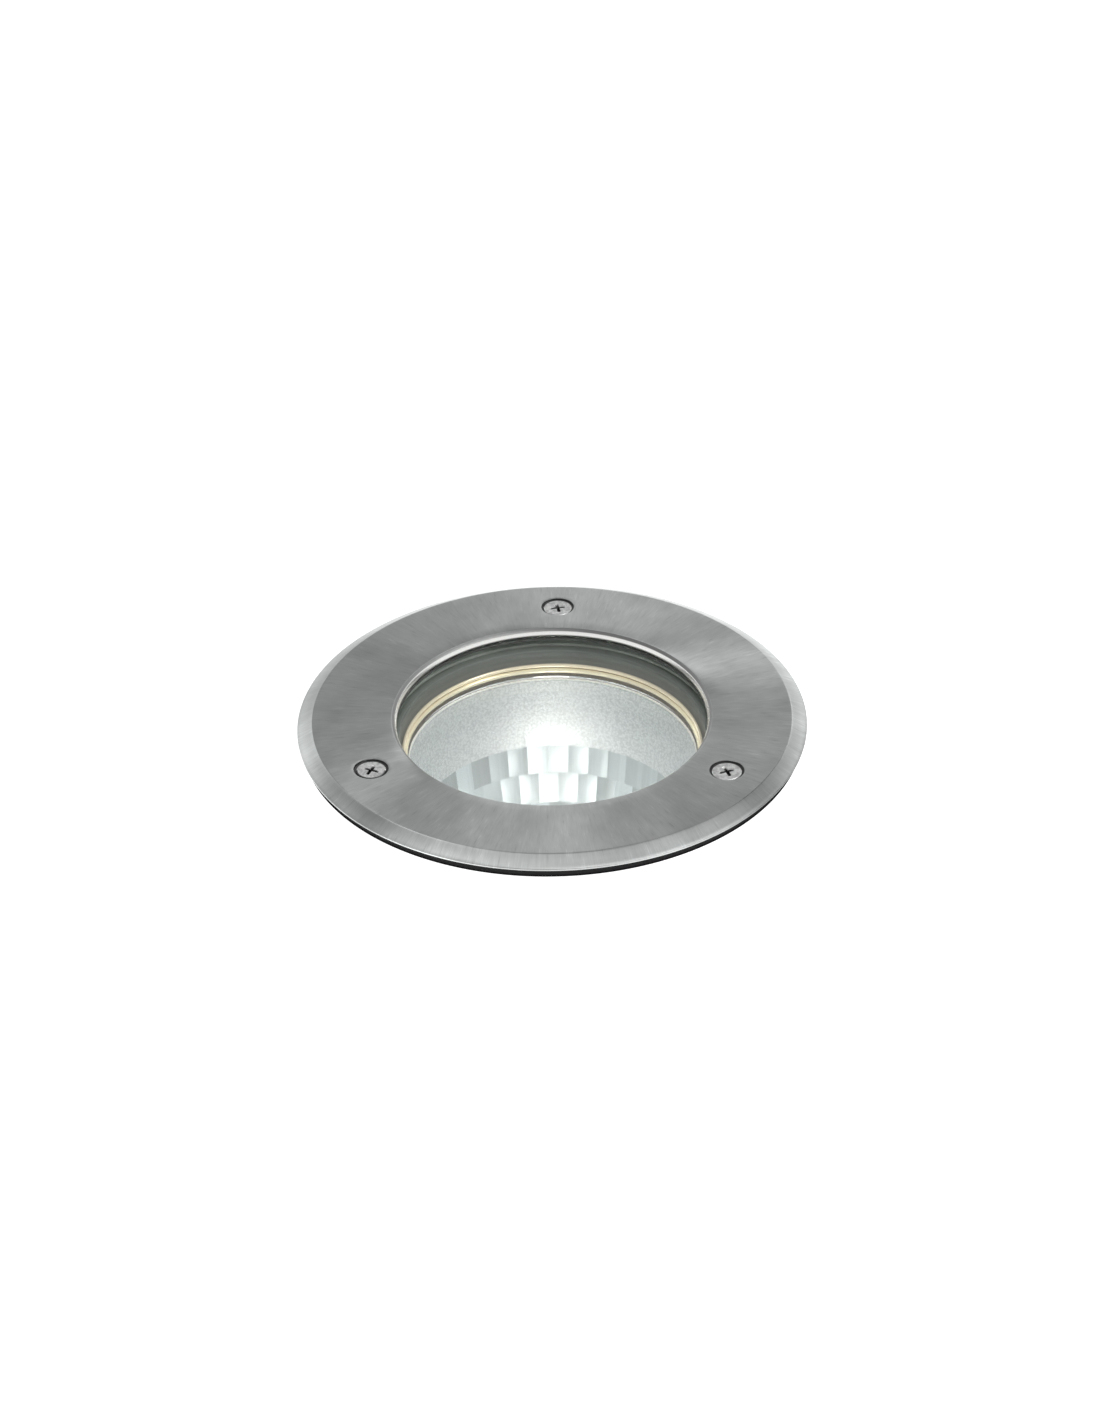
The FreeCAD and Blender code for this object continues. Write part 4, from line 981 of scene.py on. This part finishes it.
bowlShape = {
    "mouthLevel": -16.6, "mouthRadius": 45.45, "seatGap": 0.05, "wall": 1.5,
    "coneSlope": 0.0776, "coneRows": 10,
    "facetTop": -41.2, "facetCount": 40, "facetHeights": (10.0, 10.0, 6.0, 4.0, 2.4),
    "facetSlopes": (0.14, 0.27, 0.60, 1.50, 3.60), "facetSwell": 0.04,
    "facetColumns": 10, "facetRows": 8,
    "rowShares": (0.94, 0.995),         # the last two points of a row, as shares of its height
    "paintedTones": (0.46, 0.97),              # painted reflections of the darkest and the lightest facet
    "tonesByTurns": 0.4,                # share of that from one facet to the next, the rest is drawn
    "paintedSideTone": 0.07,                   # painted shading from a facet's middle to its side
    "dice": 11,
    "floorShare": 0.99, "floorInner": 14.0, "floorStep": 0.4, "mouthArris": (0.1, 0.4),
    "holeRadius": 8.0, "neckRadius": 15.5, "floorLevel": -76.6, "neckLevel": -81.6,
}


def arc(centre, first, last, steps):
    # Points on a bead of the section, from the first angle to the last, in degrees from outwards.
    t = np.radians(np.linspace(first, last, steps))
    return np.stack([centre[0] + centre[2] * np.cos(t), centre[1] + centre[2] * np.sin(t)], axis=-1)


def rimOutline(shape, top):
    # The section goes up the skirt's outside, over the upper bead, round the lower one and back down inside.
    inner, outer, low = shape["skirtInner"], shape["skirtOuter"], shape["skirtBottom"]
    across, up = shape["skirtArris"]
    start = [(inner, low), (outer - across, low), (outer, low + up), (outer, top)]
    crimp = [(r, top + rise) for r, rise in shape["crimp"]]
    corner = [(inner - inside, top - drop) for inside, drop in shape["corner"]]
    over = arc(shape["upperBead"], *shape["upperArc"])
    under = arc(shape["lowerBead"], *shape["lowerArc"])
    return np.vstack([start, over, under, shape["throat"], crimp, corner])


def paintedFacetTones(shape, rowStarts, rowCount):
    # One number for each face of the bowl: on the facets a tone that is a painted reflection, partly drawn
    # for each one and, as painted shading, a little lighter towards the side that is further round from the
    # far side, and the cone's mark elsewhere.
    count, wide = shape["facetCount"], shape["facetColumns"]
    column = np.arange(count * wide)
    dice = np.random.default_rng(shape["dice"])
    paintedTones = np.full((rowCount, len(column)), coneMark)
    (low, high), share = shape["paintedTones"], shape["tonesByTurns"]
    for row, (start, end) in enumerate(zip(rowStarts[1:-1], rowStarts[2:])):
        drawn = low + (high - low) * (share * (np.arange(count) % 2) + (1 - share) * dice.random(count))
        shifted = column + wide // 2 * (1 + row % 2)
        across = (shifted % wide + 0.5) / wide * 2 - 1
        away = np.where(column < len(column) // 2, across, -across)
        paintedTones[start:end] = drawn[shifted // wide % count] * (1 + shape["paintedSideTone"] * away)
    return paintedTones.ravel()


def bowlGrid(shape):
    # Inside, the radius is the cone's and then each row's planes', where a plane of a row is its line over
    # the cosine of the angle from the nearest facet's middle, so every edge between facets lies on the grid.
    # The swell falls off by the square across a facet and by the fourth power up and down it.
    step = 2 * math.pi / shape["facetCount"]
    columns = shape["facetCount"] * shape["facetColumns"]
    angle = math.pi / 2 + np.arange(columns) * step / shape["facetColumns"]
    level, wall = shape["facetTop"], shape["wall"]
    starts, slopes = [shape["mouthRadius"] - shape["coneSlope"] * shape["mouthLevel"]], [shape["coneSlope"]]
    radius = starts[0] + slopes[0] * level
    for height, slope in zip(shape["facetHeights"], shape["facetSlopes"]):
        starts.append(radius - slope * level)
        slopes.append(slope)
        level -= height
        radius -= slope * height
    mouth = shape["mouthLevel"] - shape["seatGap"]
    borders = [mouth, shape["facetTop"]] + list(shape["facetTop"] - np.cumsum(shape["facetHeights"]))
    near, nearest = shape["rowShares"]
    rings = []
    for row, (start, slope) in enumerate(zip(starts, slopes)):
        count = shape["facetRows"] if row else shape["coneRows"]
        t = np.append(np.linspace(0, near, count - 1), nearest)[:, None]
        z = (borders[row] * (1 - t) + borders[row + 1] * t) + np.zeros(columns)
        r = start + slope * z
        if row:
            away = np.mod(angle - math.pi / 2 - ((row - 1) % 2) * step / 2 + step / 2, step) - step / 2
            r = r * (1 / np.cos(away))
            r = r - shape["facetSwell"] * (1 - (away / (step / 2)) ** 2) * (1 - (2 * t - 1) ** 4)
        rings.append(np.stack([r, z], axis=-1))
    hole, neck, foot = shape["holeRadius"], shape["neckRadius"], shape["neckLevel"]
    rest = [(radius * shape["floorShare"], level), (shape["floorInner"], level), (hole, level), (hole, foot),
            (neck, foot), (neck, shape["floorLevel"]), (radius + shape["floorStep"], level - wall)]
    for height, slope in zip(shape["facetHeights"][::-1], shape["facetSlopes"][::-1]):
        level += height
        radius += slope * height
        rest.append((radius + wall, level))
    outer, (across, down) = shape["mouthRadius"] + wall, shape["mouthArris"]
    rest += [(outer, mouth - down), (outer - across, mouth)]
    rest = np.broadcast_to(np.array(rest)[:, None], (len(rest), columns, 2))
    section = np.concatenate(rings + [rest])
    points = roundAxis(section[..., 0], angle, section[..., 1])
    rowStarts = np.cumsum([0] + [len(ring) for ring in rings])
    return points, [gridFaces(len(section), columns, True)], paintedFacetTones(shape, rowStarts, len(section))


rim = rimOutline(rimShape, lensShape["top"])
addTurned("lampRim", rim, "lamp", "gold_rim_metal", ["lamp_rim"], sharp=50)
addTurned("lampLens", discOutline(lensShape), "lamp", "lens_glass", ["lamp_lens"])
points, faceSets, paintedTones = bowlGrid(bowlShape)
bowl = addPiece("lampBowl", points, faceSets, "lamp", "reflector_silver", ["lamp_bowl"], sharp=2.5)
bowl.data.attributes.new("paintedFacetTone", "FLOAT", "FACE").data.foreach_set("value", paintedTones)
print("lamp made:", len(bowl.data.polygons), "faces in the bowl")


# Floor: a pale ground with the sleeve's hole in it, clear from below so that the sleeve can be looked at

floorLook = {
    "holeRadius": 75.0, "radius": 4000.0, "shadowRadius": 78.7, "shadowBlur": 0.15,   # millimetres
    "rings": 24, "segments": 128,
    # the dark ring round the sleeve is painted shadow
    "color": (0.9, 0.9, 0.9), "shadowColor": (0.01, 0.01, 0.01), "roughness": 0.9, "glow": 0.86,
    "patchSize": 0.3, "patchSpread": 0.004,
}


def makeFloorFinish(name, look):
    # Painted shadow in a dark ring round the sleeve, under the bezel's edge, and pale outside it, where it
    # also gives off light of its own.
    material, tree, shader = newMaterial(name)
    away = vectorNode(tree, "LENGTH", objectPlace(tree), output="Value")
    shadowEdge = look["shadowRadius"]
    outside = rangeNode(tree, away, shadowEdge * mm, (shadowEdge + look["shadowBlur"]) * mm, 0.0, 1.0)
    clear = tree.nodes.new("ShaderNodeBsdfTransparent")
    facing = addNode(tree, "ShaderNodeNewGeometry").outputs["Backfacing"]
    mixed = addNode(tree, "ShaderNodeMixShader", {0: facing, 1: shader.outputs[0], 2: clear.outputs[0]})
    return finishMaterial(material, shader, {
        "Base Color": mixColor(tree, outside, rgba(look["shadowColor"]), makePatches(tree, look)["Color"]),
        "Emission Color": mixColor(tree, outside, black, white), "Emission Strength": look["glow"],
        "Roughness": look["roughness"], "Specular IOR Level": 0.0,
    }, mixed)


def makeFloor(look):
    # Rings from the hole's edge outwards, their radii growing by equal steps of the logarithm.
    radius = np.geomspace(look["holeRadius"], look["radius"], look["rings"])[:, None]
    angle = np.linspace(0, 2 * math.pi, look["segments"], endpoint=False)
    points = roundAxis(radius, angle, 0 * radius)
    faces = gridFaces(look["rings"], look["segments"], False)[:, ::-1]
    mesh = makeMesh("floor", points, [faces])
    mesh.materials.append(makeFloorFinish("paleFloor", look))
    addObject("floor", mesh)


makeFloor(floorLook)


# World and lamps of the studio

worldLook = {
    "seen": (1.0, 1.0, 1.0),
    # brightness by the sine of the elevation: a bright horizon, a darker band, and a soft box overhead
    "levels": (
        (0.0, 1.0), (0.34, 0.85), (0.5, 0.66), (0.62, 0.46), (0.72, 0.34), (0.82, 0.3), (0.89, 0.48),
        (0.96, 0.52),
    ),
}

# degrees round and up, metres away, metres across, watts, colour
studioLights = {
    "keyRight": (-10, 58, 1.6, 0.45, 5, (1.0, 1.0, 1.0)),
    "backRight": (62, 22, 1.8, 0.4, 0.8, (0.97, 0.99, 1.0)),
    "backLeft": (127, 26, 1.8, 0.35, 1.4, (0.97, 0.99, 1.0)),
}


def makeWorld(look):
    # White where the camera looks past the object; reflections and light see the levels.
    world = bpy.data.worlds.new("studio")
    bpy.context.scene.world = world
    world.use_nodes = True
    tree = world.node_tree
    tree.nodes.clear()
    heading = addNode(tree, "ShaderNodeTexCoord").outputs["Generated"]
    ramp = addNode(tree, "ShaderNodeValToRGB", {"Fac": levelOf(tree, heading)})
    ramp.color_ramp.interpolation = "EASE"
    while len(ramp.color_ramp.elements) < len(look["levels"]):
        ramp.color_ramp.elements.new(0.5)
    for element, (place, value) in zip(ramp.color_ramp.elements, look["levels"]):
        element.position = place
        element.color = (value, value, value, 1)
    path = tree.nodes.new("ShaderNodeLightPath").outputs
    color = mixColor(tree, path["Is Camera Ray"], ramp.outputs["Color"], rgba(look["seen"]))
    light = addNode(tree, "ShaderNodeBackground", {"Color": color, "Strength": 1.0})
    addNode(tree, "ShaderNodeOutputWorld", {"Surface": light.outputs[0]})


def makeLights(lights):
    for name, (azimuth, elevation, distance, size, power, color) in lights.items():
        away = towards(azimuth, elevation)
        data = bpy.data.lights.new(name, "AREA")
        data.shape = "DISK"
        data.size = size
        data.energy = power
        data.color = color
        light = addObject(name, data)
        light.location = away * distance
        light.rotation_euler = away.to_track_quat("Z", "Y").to_euler()
        light.visible_camera = False


makeWorld(worldLook)
makeLights(studioLights)
print("floor, world and lights made")
